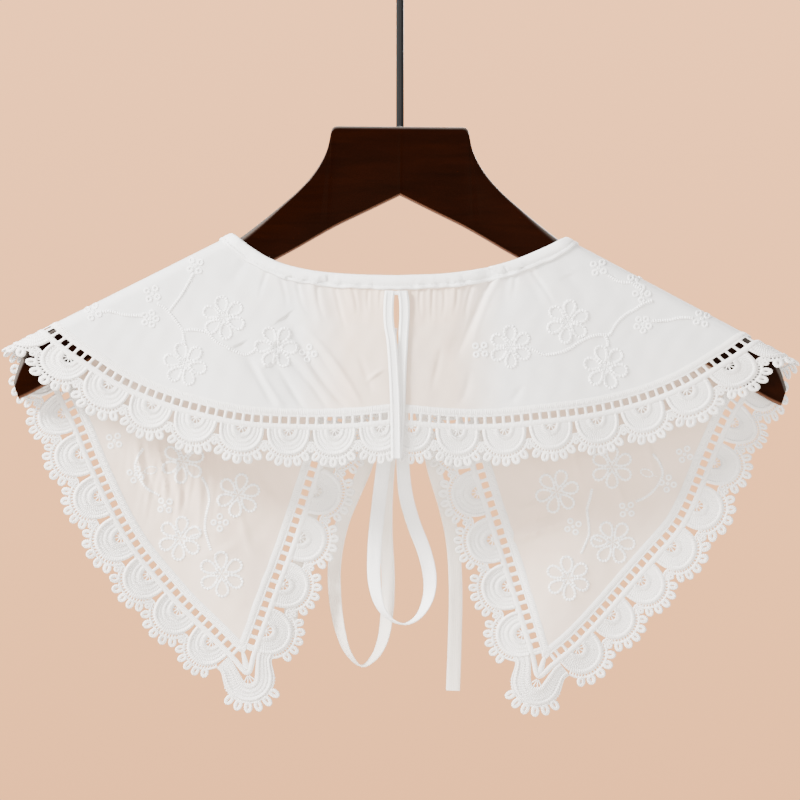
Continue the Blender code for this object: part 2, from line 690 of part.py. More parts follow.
def laces(half):
    """The lace of one half: along the back hem, along the front hem and down the front edge."""
    neck, hem, inner = flat_lines(half)
    ridge = mark_across(hem, 0.0)
    total = lengths(hem)[-1]
    back_pitch = (ridge - FIRST_FAN_FROM_SEAM) / round((ridge - FIRST_FAN_FROM_SEAM) / BACK_FAN.pitch)
    front_fans = round((total - ridge - LAST_FAN_FROM_TIP) / FRONT_FAN.pitch)
    front_pitch = (total - ridge - LAST_FAN_FROM_TIP) / front_fans
    at_ridge = (ridge, lean_to(hem, ridge, (1.0, 0.0)))
    start_spot = half.back_hem[0]
    seam = np.diff(flat_of(half, [start_spot, (start_spot.x, start_spot.drop + BACK_CREST)]), axis=0)[0]
    at_seam = (0.0, lean_to(hem, 0.0, seam))
    lace(f"lace_back_{half.name}", half, hem, 0.0, ridge - SEAM_GAP / 2.0, ridge, back_pitch,
         BACK_FAN, PLACKET_COVERS, [at_seam, at_ridge])
    lace(f"lace_front_{half.name}", half, hem, ridge + SEAM_GAP / 2.0, total - CORNER_CUT, ridge,
         front_pitch, FRONT_FAN, FRONT_CLEAR, [at_ridge])
    top = moved(neck, BINDING_HALF + SEAM_GAP)
    top_at, start = crossing(top, inner)
    length = lengths(inner)[-1]
    start += SEAM_GAP * 2.0
    at_top = (start, lean_to(inner, start, at(top, lengths(top)[-1]) - at(top, top_at), -1.0))
    lace(f"lace_inner_{half.name}", half, inner, start, length - CORNER_CUT,
         length - LAST_FAN_FROM_TIP + 1.0, INNER_FAN.pitch, INNER_FAN, INNER_CLEAR, [at_top], -1.0)
    tip_lace(half, hem, inner)


def tip_lace(half, hem, inner):
    """The single fan at a front point, between the ends of the two strips."""
    hem_end, inner_end = lengths(hem)[-1], lengths(inner)[-1]
    hem_cut = hem_end - CORNER_CUT + TIP_GAP
    inner_cut = inner_end - CORNER_CUT + TIP_GAP
    corner = hem[-1]
    ways = [hem[-1] - at(hem, hem_end - TIP_LOOK_BACK), inner[-1] - at(inner, inner_end - TIP_LOOK_BACK)]
    out = sum(way / np.linalg.norm(way) for way in ways)
    out /= np.linalg.norm(out)
    half_angle = math.acos(float(out @ ways[0]) / float(np.linalg.norm(ways[0])))
    square = np.array([-out[1], out[0]])
    eyelet = corner + out * TIP_EYELET
    outline = [
        beside(hem, hem_cut, TIP_SHOULDER),
        beside(hem, hem_cut, LACE_INSIDE),
        corner + out * LACE_INSIDE / math.sin(half_angle),
        beside(inner, inner_cut, LACE_INSIDE, -1.0),
        beside(inner, inner_cut, TIP_SHOULDER, -1.0),
    ]
    for k in range(TIP_SECTIONS + 1):
        angle = -TIP_SWEEP + 2.0 * TIP_SWEEP * k / TIP_SECTIONS
        outline.append(eyelet + TIP_RADIUS * (out * math.cos(angle) + square * math.sin(angle)))
    outline = np.array(outline)
    count = len(outline)
    outer = surface(half, outline, LACE_WALL / 2.0)
    inside = surface(half, outline, -LACE_WALL / 2.0)
    faces = [list(range(count)), [count + k for k in reversed(range(count))]]
    faces += [[k, (k + 1) % count, count + (k + 1) % count, count + k] for k in range(count)]
    add_mesh(f"lace_tip_{half.name}", np.vstack([outer, inside]), faces, WHITE_LACE)


def neck_binding():
    """The folded band round the neck, one piece from front corner to front corner."""
    sides = []
    for half in (LEFT, RIGHT):
        neck = flat_lines(half)[0]
        total = lengths(neck)[-1]
        bend = [mark_across(neck, across) for across in BINDING_BEND]
        marks = list(np.linspace(0.0, bend[0], BINDING_BACK_CUTS)) + bend[1:]
        marks += list(np.linspace(bend[-1], total, BINDING_FRONT_CUTS))[1:]
        rings = []
        for mark in marks:
            flat = [beside(neck, mark, offset) for offset, _ in BINDING_SECTION]
            rings.append(surface(half, flat, [lift for _, lift in BINDING_SECTION]))
        sides.append(rings)
    left, right = sides
    middle = (left[0] + right[0]) / 2.0
    rings = list(reversed(left[1:])) + [middle] + right[1:]
    add_mesh("neck_binding", *ring_solid(rings), WHITE_COTTON)


def placket(name, half, strip):
    """A stitched strip over the edge of the slit, lying on the panel and on the lace below it."""
    rows = smooth(strip, TAPE_STEP)
    outer = []
    inner = []
    for x, drop, lift in rows:
        places = [(x + PLACKET_WIDTH * share, drop) for share in (-0.5, 0.0, 0.5)]
        flat = flat_of(half, places)
        outer.append(surface(half, flat, np.full(3, lift + CLOTH_WALL)))
        inner.append(surface(half, flat, np.full(3, lift)))
    outer, inner = np.array(outer), np.array(inner)
    cells = np.ones((len(rows) - 1, 2), bool)
    add_mesh(name, *wall_of(outer, inner, cells), WHITE_COTTON)


def tape(name, rows):
    """A flat tie tape swept along its middle line; turn rolls its width towards the viewer."""
    rows = smooth(rows, TAPE_STEP, place=3)
    middle = np.stack([rows[:, 0], rows[:, 2], -WOOD_BELOW_SEAT - rows[:, 1]], -1)
    ways = np.gradient(middle, axis=0)
    rings = []
    for place, way, row in zip(middle, ways, rows):
        way = way / np.linalg.norm(way)
        plane = np.cross((0.0, 1.0, 0.0), way)
        plane /= np.linalg.norm(plane)
        angle = math.radians(row[3])
        wide = plane * math.cos(angle) + np.array([0.0, 1.0, 0.0]) * math.sin(angle)
        wide -= way * float(wide @ way)
        wide /= np.linalg.norm(wide)
        thick = np.cross(way, wide) * TAPE_WALL / 2.0
        wide = wide * TAPE_WIDTH / 2.0 * row[4]
        low, high = place - thick, place + thick
        rings.append([low - wide, low + wide, high + wide, high - wide])
    add_mesh(name, *ring_solid(rings), WHITE_COTTON)


def bow_knot():
    """The knot of the bow, a small tight lump."""
    body = bmesh.new()
    bmesh.ops.create_uvsphere(body, u_segments=12, v_segments=8, radius=1.0)
    points = []
    for vert in body.verts:
        place = np.array(vert.co) * np.array(KNOT_RADII)
        points.append(place + np.array([KNOT.x, KNOT.y, -WOOD_BELOW_SEAT - KNOT.drop]))
    faces = [[vert.index for vert in face.verts] for face in body.faces]
    body.free()
    add_mesh("bow_knot", points, faces, WHITE_COTTON)


def wood_ring(top, under, rounding):
    """A cross-section of the arm with rounded edges, from its top point to its under point."""
    top, under = np.array(top), np.array(under)
    down = under - top
    height = np.linalg.norm(down)
    down /= height
    low_round = min(rounding, UNDER_ROUNDING)
    corners = [(0.0, 1.0, rounding), (height, 1.0, low_round)]
    corners += [(height, -1.0, low_round), (0.0, -1.0, rounding)]
    quarter = math.pi / 2.0
    ring = []
    for level, side, radius in corners:
        inwards = 1.0 if level == 0.0 else -1.0
        arc = [0.0, quarter / 3.0, 2.0 * quarter / 3.0, quarter]
        if (level == 0.0) != (side > 0.0):
            arc.reverse()
        for angle in arc:
            along = level + inwards * radius * (1.0 - math.cos(angle))
            deep = side * (WOOD_HALF - radius * (1.0 - math.sin(angle)))
            place = top + down * along
            ring.append((place[0], deep, -WOOD_BELOW_SEAT - place[1]))
    return ring


def hanger_half(half):
    """One half of the wooden hanger, from the glued joint at the centre to the tip."""
    side = -1.0 if half.name == "left" else 1.0
    start, ahead, square = ridge_frame(half)
    rings = []
    for row in WOOD_ROWS:
        top_x, under_x = side * row.top_x, side * row.under_x
        if row.top_x == 0.0:
            top_x = under_x = side * JOINT_HALF_GAP
        tilt = WOOD_TILT * top_x
        if row.top_drop is None:
            on_ridge = start + ahead * (top_x - start[0]) / ahead[0]
            top = on_ridge + square * ARM_SEAT
        else:
            top = (top_x, row.top_drop + tilt)
        rings.append(wood_ring(top, (under_x, row.under_drop + tilt), row.rounding))
    add_mesh(f"hanger_{half.name}", *ring_solid(rings), DARK_WOOD)


def hook():
    """The wire hook: a straight stem out of the wood, a swan neck and a round bend."""
    radius = HOOK_INSIDE + WIRE_RADIUS
    foot = -WOOD_BELOW_SEAT + SEAM_GAP
    bend_start = -WOOD_BELOW_SEAT + HOOK_STRAIGHT
    centre = -HOOK_INSIDE
    path = [(0.0, foot), (0.0, foot + HOOK_STRAIGHT * 0.5)]
    for k in range(HOOK_NECK_STEPS):
        t = k / HOOK_NECK_STEPS
        swing = t * t * (3.0 - 2.0 * t)
        path.append((radius * swing, bend_start + (centre - bend_start) * t))
    for k in range(HOOK_BEND_STEPS + 1):
        angle = HOOK_SWEEP * k / HOOK_BEND_STEPS
        path.append((radius * math.cos(angle), centre + radius * math.sin(angle)))
    path = np.array(path)
    ways = np.gradient(path, axis=0)
    rings = []
    for (x, z), way in zip(path, ways):
        way = way / np.linalg.norm(way)
        ring = []
        for k in range(WIRE_SIDES):
            angle = math.tau * k / WIRE_SIDES
            aside = WIRE_RADIUS * math.cos(angle)
            ring.append((x - way[1] * aside, WIRE_RADIUS * math.sin(angle), z + way[0] * aside))
        rings.append(ring)
    add_mesh("hook", *ring_solid(rings), DARK_WIRE)


def main():
    clear_scene()
    for half in (LEFT, RIGHT):
        hanger_half(half)
        panel(half)
        laces(half)
    hook()
    neck_binding()
    placket("placket_left", LEFT, PLACKET_LEFT)
    placket("placket_right", RIGHT, PLACKET_RIGHT)
    tape("tie_left", TIE_LEFT)
    tape("tie_right", TIE_RIGHT)
    bow_knot()
    tape("bow_loop_near", LOOP_NEAR)
    tape("bow_loop_far", LOOP_FAR)
    tape("tie_end_left", END_LEFT)
    tape("tie_end_right", END_RIGHT)


main()
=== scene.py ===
"""The looks of a white embroidered cape collar on a dark wooden hanger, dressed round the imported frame.

Tables are in millimetres: x runs across from the centre plane and drop runs down from the top
edge of the wood. Each half of the collar is laid out flat, as along and across the shoulder
ridge, and one function hangs that flat cloth over the hanger's arm, so the lace, the embroidery
and the stitches are all made flat and then lie on the cloth wherever it goes.
"""

import math
from collections import namedtuple

import bpy
import numpy as np
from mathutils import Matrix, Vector

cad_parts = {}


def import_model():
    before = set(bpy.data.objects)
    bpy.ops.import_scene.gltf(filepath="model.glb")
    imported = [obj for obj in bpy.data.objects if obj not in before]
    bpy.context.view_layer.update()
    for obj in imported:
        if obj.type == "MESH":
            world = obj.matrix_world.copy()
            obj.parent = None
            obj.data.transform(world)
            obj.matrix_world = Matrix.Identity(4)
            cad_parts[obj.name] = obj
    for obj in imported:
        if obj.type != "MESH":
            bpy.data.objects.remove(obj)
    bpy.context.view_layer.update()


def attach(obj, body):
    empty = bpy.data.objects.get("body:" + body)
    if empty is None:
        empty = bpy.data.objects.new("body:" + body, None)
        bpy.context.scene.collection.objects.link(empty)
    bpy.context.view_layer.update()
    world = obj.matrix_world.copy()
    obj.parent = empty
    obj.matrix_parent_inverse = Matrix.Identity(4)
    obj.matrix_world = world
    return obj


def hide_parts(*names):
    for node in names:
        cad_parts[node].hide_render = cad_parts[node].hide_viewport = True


MM = 0.001
WOOD_BELOW_SEAT = 118.0

# Cloth, lace and tape
CLOTH_THICK = 0.45
SEAM_GAP = 0.3
CREASE_DEPTH = 1.8
CREASE_WIDTH = 0.8
RIDGE_RADIUS = 7.0
BACK_STEEP = math.radians(84.0)
FRONT_STEEP = math.radians(87.0)
CENTRE_SOFTNESS = 30.0
BINDING_HALF = 4.0
PLACKET_WIDTH = 5.8
SLIT_INSET = {"left": 3.2, "right": 0.8}
TAPE_WIDTH = 8.0
TAPE_WALL = 1.0
TAPE_AT_KNOT = 0.55

# Lace, outwards from the middle of its row of holes
PANEL_INSIDE = -4.5
FIRST_FAN_FROM_SEAM = 8.6
LAST_FAN_FROM_TIP = 21.7
CORNER_CUT = 8.3
TIP_EYELET = 9.7
LEAN_LENGTH = 60.0
BAND_MIDDLE = -4.9
BAND_HALF = 2.2
RAIL_MIDDLE = -2.7
BORDER_MIDDLE = 3.6
FAN_BASE = 5.0
BODY_RADIUS = 13.3
BASE_RADIUS = 15.4
PICOT_RADIUS = 17.3
PICOT_REACH = 20.2
FAN_GAP = 1.15
SLIT_END = 13.0

# Hanger
WOOD_HALF = 5.6
WOOD_TILT = 0.0087
WOOD_EDGE = 1.8
ARM_ROUNDING = 5.3
ARM_SEAT = 1.25
JOINT_GROOVE = 0.12
EDGE_STEPS = 7
# Painted light on the arm's rounded edges, step by step round each corner: a painted highlight on the lower edges, and
# a painted sheen on the top edges, stronger where the top runs steep.
UNDER_EDGE_HIGHLIGHT = [0.0, 0.0, 0.5, 1.0, 1.0, 1.0, 1.0]
TOP_EDGE_SHEEN = [0.1, 0.6, 1.0, 1.0, 0.6, 0.1, 0.0]
STEEP_TOP_EDGE_SHEEN = [0.1, 0.6, 1.0, 1.0, 1.0, 0.7, 0.0]
WIRE_RADIUS = 2.2
HOOK_INSIDE = 19.0
HOOK_STRAIGHT = 74.0
HOOK_SWEEP = math.radians(205.0)

Fan = namedtuple("Fan", "pitch holes hole crest")
BACK_FAN = Fan(pitch=25.9, holes=5, hole=3.5, crest=26.8)
FRONT_FAN = Fan(pitch=26.9, holes=5, hole=3.5, crest=28.2)
INNER_FAN = Fan(pitch=28.3, holes=5, hole=3.6, crest=28.2)

Spot = namedtuple("Spot", "x drop")
Fold = namedtuple("Fold", "x drop to_x to_drop width depth")
Half = namedtuple("Half", "name neck tip back_neck front_neck back_hem front_hem inner folds creases")
Wood = namedtuple("Wood", "top_x top_drop under_x under_drop rounding")
Tape = namedtuple("Tape", "x drop y turn width")
Strip = namedtuple("Strip", "x drop lift")
Flower = namedtuple("Flower", "x drop reach turn")
Floret = namedtuple("Floret", "x drop rings turn")
Shape = namedtuple("Shape", "points faces uv")

LEFT = Half(
    name="left",
    neck=Spot(-101.3, 64.3),
    tip=Spot(-227.6, 127.5),
    back_neck=[
        Spot(-1.1, 88.8),
        Spot(-25.6, 88.2),
        Spot(-49.8, 86.0),
        Spot(-69.4, 81.2),
        Spot(-83.1, 74.3),
        Spot(-98.7, 63.0),
    ],
    front_neck=[
        Spot(-88.0, 82.0),
        Spot(-64.0, 101.0),
        Spot(-35.0, 113.5),
        Spot(-2.0, 118.5),
    ],
    back_hem=[
        Spot(-2.45, 164.2),
        Spot(-31.3, 166.7),
        Spot(-65.4, 166.7),
        Spot(-89.9, 165.0),
        Spot(-116.1, 159.3),
        Spot(-137.7, 152.5),
        Spot(-158.5, 143.4),
        Spot(-177.0, 131.7),
        Spot(-192.0, 121.2),
    ],
    front_hem=[
        Spot(-199.5, 131.0),
        Spot(-190.5, 153.6),
        Spot(-182.6, 170.4),
        Spot(-174.1, 191.5),
        Spot(-158.5, 224.8),
        Spot(-147.9, 241.8),
        Spot(-135.4, 257.2),
        Spot(-121.8, 272.6),
        Spot(-107.5, 286.4),
        Spot(-88.8, 305.0),
    ],
    inner=[
        Spot(-25.5, 116.0),
        Spot(-50.1, 195.2),
        Spot(-64.3, 238.4),
        Spot(-75.6, 268.5),
        Spot(-88.8, 305.0),
    ],
    folds=[
        Fold(-62.0, 89.0, -55.0, 112.0, 3.6, 0.9),
        Fold(-53.5, 91.0, -48.0, 118.0, 3.0, 1.0),
        Fold(-41.0, 92.0, -28.0, 126.0, 4.6, 1.7),
        Fold(-33.0, 92.0, -27.0, 112.0, 2.6, 0.8),
        Fold(-21.5, 92.5, -20.5, 116.0, 2.6, 0.9),
        Fold(-15.0, 92.5, -14.5, 113.0, 2.2, 0.7),
        Fold(-88.0, 76.0, -97.0, 92.0, 3.4, 0.9),
        Fold(-70.0, 138.0, -50.0, 162.0, 4.0, 1.1),
        Fold(-66.0, 128.0, -44.0, 158.0, 4.0, 1.1),
        Fold(-61.0, 115.0, -28.0, 160.0, 5.0, 1.2),
        Fold(-89.0, 128.0, -74.0, 156.0, 4.5, 1.0),
    ],
    creases=[
        Fold(-67.0, 88.0, -64.0, 104.0, 1.5, 0.45),
        Fold(-58.0, 90.0, -52.0, 108.0, 1.5, 0.55),
        Fold(-47.0, 91.0, -42.0, 112.0, 1.6, 0.6),
        Fold(-37.0, 92.0, -31.0, 116.0, 1.5, 0.6),
        Fold(-26.5, 93.0, -24.5, 108.0, 1.4, 0.5),
        Fold(-18.0, 93.0, -17.5, 106.0, 1.3, 0.5),
        Fold(-11.0, 93.0, -11.5, 104.0, 1.2, 0.4),
        Fold(-76.0, 84.0, -80.0, 98.0, 1.6, 0.4),
        Fold(-88.8, 128.0, -68.5, 164.0, 2.0, 0.8),
        Fold(-83.5, 131.0, -61.5, 165.0, 1.8, -0.6),
        Fold(-70.0, 135.0, -49.0, 167.0, 1.8, 0.85),
        Fold(-67.0, 128.0, -37.0, 166.0, 1.8, 1.0),
        Fold(-62.0, 114.0, -22.0, 168.0, 2.2, 1.0),
        Fold(-56.0, 112.0, -18.0, 165.0, 2.0, -0.75),
        Fold(-50.0, 122.0, -34.0, 146.0, 1.6, 0.4),
        Fold(-19.5, 145.5, -8.5, 138.0, 1.5, -0.6),
        Fold(-24.0, 128.0, -15.0, 152.0, 2.2, 0.4),
        Fold(-151.0, 172.0, -143.0, 214.0, 1.6, 0.75),
        Fold(-147.0, 170.0, -137.0, 220.0, 1.8, -0.6),
        Fold(-141.5, 171.0, -134.0, 223.0, 1.6, 0.8),
        Fold(-136.0, 170.0, -128.0, 216.0, 1.7, -0.55),
        Fold(-131.0, 168.0, -126.0, 228.0, 1.8, 0.75),
        Fold(-124.5, 168.0, -121.0, 222.0, 1.9, -0.6),
        Fold(-119.0, 166.0, -116.0, 232.0, 2.0, 0.7),
        Fold(-112.0, 166.0, -112.0, 214.0, 1.7, -0.5),
        Fold(-106.5, 164.0, -107.0, 208.0, 1.8, 0.6),
        Fold(-99.0, 166.0, -101.0, 204.0, 2.2, 0.45),
        Fold(-128.0, 226.0, -96.0, 232.0, 2.4, 0.4),
        Fold(-118.0, 246.0, -92.0, 238.0, 2.6, 0.45),
        Fold(-84.0, 196.0, -70.0, 214.0, 2.4, 0.45),
        Fold(-92.0, 216.0, -84.0, 246.0, 2.6, 0.4),
    ],
)

RIGHT = Half(
    name="right",
    neck=Spot(100.1, 66.6),
    tip=Spot(227.6, 134.3),
    back_neck=[
        Spot(-1.1, 88.8),
        Spot(29.0, 87.4),
        Spot(54.1, 83.1),
        Spot(76.8, 75.4),
        Spot(96.9, 65.3),
    ],
    front_neck=[
        Spot(87.0, 84.0),
        Spot(63.0, 102.5),
        Spot(34.0, 114.0),
        Spot(1.0, 118.5),
    ],
    back_hem=[
        Spot(-2.05, 164.2),
        Spot(28.5, 166.7),
        Spot(50.1, 166.9),
        Spot(82.5, 164.1),
        Spot(110.4, 160.3),
        Spot(138.3, 153.4),
        Spot(159.3, 145.1),
        Spot(179.2, 133.5),
        Spot(191.2, 125.6),
    ],
    front_hem=[
        Spot(200.5, 137.0),
        Spot(185.5, 165.0),
        Spot(177.0, 183.5),
        Spot(164.4, 214.4),
        Spot(157.0, 227.6),
        Spot(144.0, 242.8),
        Spot(132.6, 255.9),
        Spot(109.2, 282.6),
        Spot(96.7, 295.0),
        Spot(81.4, 307.3),
    ],
    inner=[
        Spot(24.0, 116.0),
        Spot(46.1, 195.2),
        Spot(58.6, 234.4),
        Spot(71.1, 273.8),
        Spot(81.4, 307.3),
    ],
    folds=[
        Fold(8.0, 92.5, 8.5, 112.0, 2.2, 0.7),
        Fold(14.5, 92.5, 15.5, 116.0, 2.4, 0.9),
        Fold(22.0, 92.0, 21.0, 120.0, 2.6, 0.9),
        Fold(28.0, 91.5, 26.0, 112.0, 2.4, 0.7),
        Fold(49.0, 88.0, 27.0, 138.0, 5.2, 1.9),
        Fold(37.0, 90.0, 33.0, 116.0, 2.6, 0.9),
        Fold(61.0, 84.0, 58.0, 104.0, 3.0, 1.0),
        Fold(72.0, 84.0, 88.0, 112.0, 3.6, 0.8),
        Fold(98.0, 88.0, 112.0, 112.0, 4.5, 0.7),
    ],
    creases=[
        Fold(6.0, 93.0, 6.0, 104.0, 1.2, 0.4),
        Fold(11.5, 93.0, 12.0, 109.0, 1.3, 0.5),
        Fold(18.5, 93.0, 18.0, 112.0, 1.4, 0.6),
        Fold(25.0, 92.0, 23.5, 110.0, 1.4, 0.5),
        Fold(32.5, 91.5, 30.0, 108.0, 1.4, 0.55),
        Fold(41.0, 90.0, 36.5, 112.0, 1.5, 0.6),
        Fold(50.0, 88.0, 31.0, 134.0, 2.0, 0.8),
        Fold(56.0, 86.0, 40.0, 128.0, 2.0, -0.55),
        Fold(65.5, 83.0, 63.0, 98.0, 1.5, 0.45),
        Fold(76.0, 84.0, 90.0, 106.0, 1.8, 0.45),
        Fold(24.0, 124.0, 18.0, 150.0, 2.2, 0.4),
        Fold(40.0, 138.0, 34.0, 158.0, 2.4, 0.35),
        Fold(70.0, 146.0, 62.0, 158.0, 2.2, 0.35),
        Fold(61.0, 237.0, 98.0, 224.0, 2.2, 1.1),
        Fold(62.0, 232.0, 94.0, 219.0, 2.0, -0.85),
        Fold(64.0, 219.0, 86.0, 211.0, 2.0, 0.6),
        Fold(72.0, 238.0, 98.0, 240.0, 2.4, 0.4),
        Fold(120.0, 196.0, 134.0, 226.0, 2.8, 0.45),
        Fold(98.0, 178.0, 104.0, 206.0, 2.6, 0.35),
        Fold(140.0, 176.0, 146.0, 208.0, 2.4, 0.4),
        Fold(84.0, 192.0, 78.0, 212.0, 2.4, 0.35),
    ],
)

# Shallow waves that the whole cloth hangs in: how high and how far apart their crests lie
BACK_WAVE = 1.0
BACK_WAVE_LENGTH = 92.0
FRONT_WAVE = 1.8
FRONT_WAVE_LENGTH = 74.0

# Half a hanger, from the joint to the tip; rows with no top drop lie under the cloth's ridge
WOOD_ROWS = [
    Wood(0.0, 0.0, 0.0, 39.0, WOOD_EDGE),
    Wood(20.0, 0.0, 20.0, 48.8, WOOD_EDGE),
    Wood(31.0, 0.0, 31.6, 54.4, WOOD_EDGE),
    Wood(35.6, 0.0, 36.4, 56.8, WOOD_EDGE),
    Wood(37.3, 0.3, 38.6, 58.0, WOOD_EDGE),
    Wood(38.5, 1.3, 40.2, 58.9, WOOD_EDGE),
    Wood(39.2, 3.1, 41.6, 59.6, WOOD_EDGE),
    Wood(39.8, 6.4, 43.6, 60.8, WOOD_EDGE),
    Wood(41.2, 12.6, 47.5, 63.0, WOOD_EDGE),
    Wood(44.8, 20.6, 53.0, 66.2, WOOD_EDGE),
    Wood(50.3, 28.7, 58.5, 69.4, WOOD_EDGE),
    Wood(57.5, 36.6, 65.0, 73.0, WOOD_EDGE),
    Wood(66.0, 44.1, 73.0, 77.4, 2.4),
    Wood(79.2, 54.9, 85.0, 83.9, 4.4),
    Wood(91.0, 63.8, 96.0, 89.9, 5.2),
    Wood(100.5, 69.4, 107.0, 96.0, ARM_ROUNDING),
    Wood(113.0, None, 121.0, 103.7, ARM_ROUNDING),
    Wood(142.0, None, 140.0, 114.3, ARM_ROUNDING),
    Wood(172.0, None, 165.0, 128.3, ARM_ROUNDING),
    Wood(197.0, None, 190.0, 142.3, ARM_ROUNDING),
    Wood(206.5, None, 199.5, 147.7, 5.0),
    Wood(212.8, 129.0, 206.5, 151.7, 4.6),
    Wood(217.0, 138.0, 211.5, 154.4, 4.0),
    Wood(219.6, 147.0, 216.5, 156.7, 3.2),
]

# Stitched strips on both sides of the centre-back slit
PLACKET_LEFT = [
    Strip(-5.7, 93.6, 1.05),
    Strip(-6.2, 98.0, 1.05),
    Strip(-6.5, 107.0, 1.05),
    Strip(-6.0, 114.0, 1.30),
    Strip(-4.8, 121.2, 2.50),
    Strip(-3.4, 140.0, 2.50),
    Strip(-2.6, 158.8, 2.50),
    Strip(-2.1, 188.6, 2.50),
]
PLACKET_RIGHT = [
    Strip(1.3, 93.6, 1.05),
    Strip(2.1, 98.0, 1.05),
    Strip(2.5, 107.0, 1.05),
    Strip(1.7, 121.2, 1.05),
    Strip(0.7, 140.0, 1.05),
    Strip(0.0, 158.8, 1.05),
    Strip(-1.8, 188.3, 1.05),
]

# Tie tapes at the centre front; turn is how far the tape's width has rolled out of the front plane
KNOT = Tape(-1.0, 133.0, 22.0, 0.0, 1.0)
TIE_LEFT = [
    Tape(-6.4, 118.0, 13.7, 0.0, 0.9),
    Tape(-5.8, 122.6, 16.6, 0.0, 0.7),
    Tape(-4.6, 127.3, 20.4, 0.0, TAPE_AT_KNOT),
]
TIE_RIGHT = [
    Tape(5.0, 118.0, 13.7, 0.0, 0.9),
    Tape(4.2, 122.6, 16.6, 0.0, 0.7),
    Tape(2.6, 127.3, 20.4, 0.0, TAPE_AT_KNOT),
]
LOOP_NEAR = [
    Tape(-3.6, 139.0, 20.6, 0.0, TAPE_AT_KNOT),
    Tape(-5.6, 155.0, 17.0, 0.0, 0.9),
    Tape(-9.2, 190.0, 16.0, 0.0, 1.0),
    Tape(-12.2, 215.0, 16.0, 0.0, 1.0),
    Tape(-14.6, 240.0, 16.6, 8.0, 1.0),
    Tape(-14.6, 260.0, 17.4, 26.0, 1.0),
    Tape(-11.2, 274.0, 18.4, 56.0, 1.0),
    Tape(-4.6, 281.6, 19.0, 78.0, 1.0),
    Tape(2.6, 283.8, 19.4, 90.0, 1.0),
    Tape(10.0, 280.0, 19.4, 108.0, 1.0),
    Tape(15.8, 270.0, 19.0, 136.0, 1.0),
    Tape(17.2, 258.0, 18.6, 160.0, 1.0),
    Tape(14.2, 243.0, 18.2, 176.0, 1.0),
    Tape(7.8, 226.0, 18.0, 180.0, 1.0),
    Tape(3.4, 210.0, 17.8, 180.0, 1.0),
    Tape(1.6, 190.0, 17.8, 180.0, 0.9),
    Tape(1.9, 155.0, 18.8, 180.0, 0.7),
    Tape(1.3, 139.0, 20.6, 180.0, TAPE_AT_KNOT),
]
LOOP_FAR = [
    Tape(-4.6, 138.8, 24.6, 0.0, TAPE_AT_KNOT),
    Tape(-9.6, 160.0, 27.0, 0.0, 0.9),
    Tape(-19.8, 193.5, 28.0, 0.0, 1.0),
    Tape(-26.4, 209.0, 28.0, 4.0, 1.0),
    Tape(-33.2, 226.0, 28.0, 8.0, 1.0),
    Tape(-37.4, 247.0, 27.6, 14.0, 1.0),
    Tape(-37.4, 268.0, 27.4, 26.0, 1.0),
    Tape(-34.6, 287.0, 27.2, 44.0, 1.0),
    Tape(-29.6, 301.0, 27.0, 66.0, 1.0),
    Tape(-22.2, 308.4, 27.0, 90.0, 1.0),
    Tape(-14.6, 303.0, 27.0, 116.0, 1.0),
    Tape(-9.8, 293.0, 27.0, 138.0, 1.0),
    Tape(-7.4, 277.0, 27.0, 154.0, 1.0),
    Tape(-6.8, 258.0, 27.0, 166.0, 1.0),
    Tape(-8.2, 231.0, 26.8, 176.0, 1.0),
    Tape(-7.4, 200.0, 26.4, 180.0, 1.0),
    Tape(-2.4, 165.0, 25.8, 180.0, 0.8),
    Tape(0.9, 138.8, 24.6, 180.0, TAPE_AT_KNOT),
]
END_RIGHT = [
    Tape(6.2, 136.0, 21.4, 0.0, TAPE_AT_KNOT),
    Tape(11.0, 156.0, 20.8, 0.0, 0.9),
    Tape(19.6, 195.0, 20.4, 0.0, 1.0),
    Tape(26.2, 217.0, 20.4, 0.0, 1.0),
    Tape(30.2, 236.0, 20.4, -8.0, 1.0),
    Tape(31.9, 262.0, 20.4, -14.0, 1.0),
    Tape(31.5, 290.0, 20.6, -8.0, 1.0),
    Tape(30.4, 322.0, 20.8, 4.0, 1.0),
]
END_LEFT = [
    Tape(-8.0, 135.6, 19.6, 0.0, TAPE_AT_KNOT),
    Tape(-20.0, 152.0, 24.6, 0.0, 0.9),
    Tape(-38.0, 186.0, 26.6, 0.0, 1.0),
    Tape(-48.0, 212.0, 27.4, 4.0, 1.0),
    Tape(-56.0, 240.0, 28.2, 8.0, 1.0),
    Tape(-61.5, 268.0, 29.0, 4.0, 1.0),
    Tape(-64.0, 292.0, 29.6, 0.0, 1.0),
]

# Embroidery, as it shows from behind: six-petalled flowers, florets of small rings, and vines
BACK_FLOWERS = [
    Flower(-99.9, 108.7, 12.8, 22.0),
    Flower(-121.8, 134.9, 12.8, 15.0),
    Flower(-70.0, 125.2, 12.6, 2.0),
    Flower(95.0, 111.0, 12.8, 38.0),
    Flower(116.6, 136.6, 13.0, 12.0),
    Flower(62.6, 125.2, 12.4, 28.0),
]
BACK_FLORETS = [
    Floret(-51.8, 128.6, 4, 10.0),
    Floret(-141.7, 109.2, 5, 0.0),
    Floret(-140.5, 95.0, 4, 30.0),
    Floret(-116.1, 79.1, 4, 55.0),
    Floret(-174.1, 105.3, 4, 20.0),
    Floret(45.5, 126.9, 4, 40.0),
    Floret(137.7, 112.4, 5, 15.0),
    Floret(137.1, 95.0, 4, 0.0),
    Floret(112.7, 80.2, 4, 35.0),
    Floret(171.3, 109.2, 4, 60.0),
    Floret(134.3, 87.1, 3, 80.0),
]
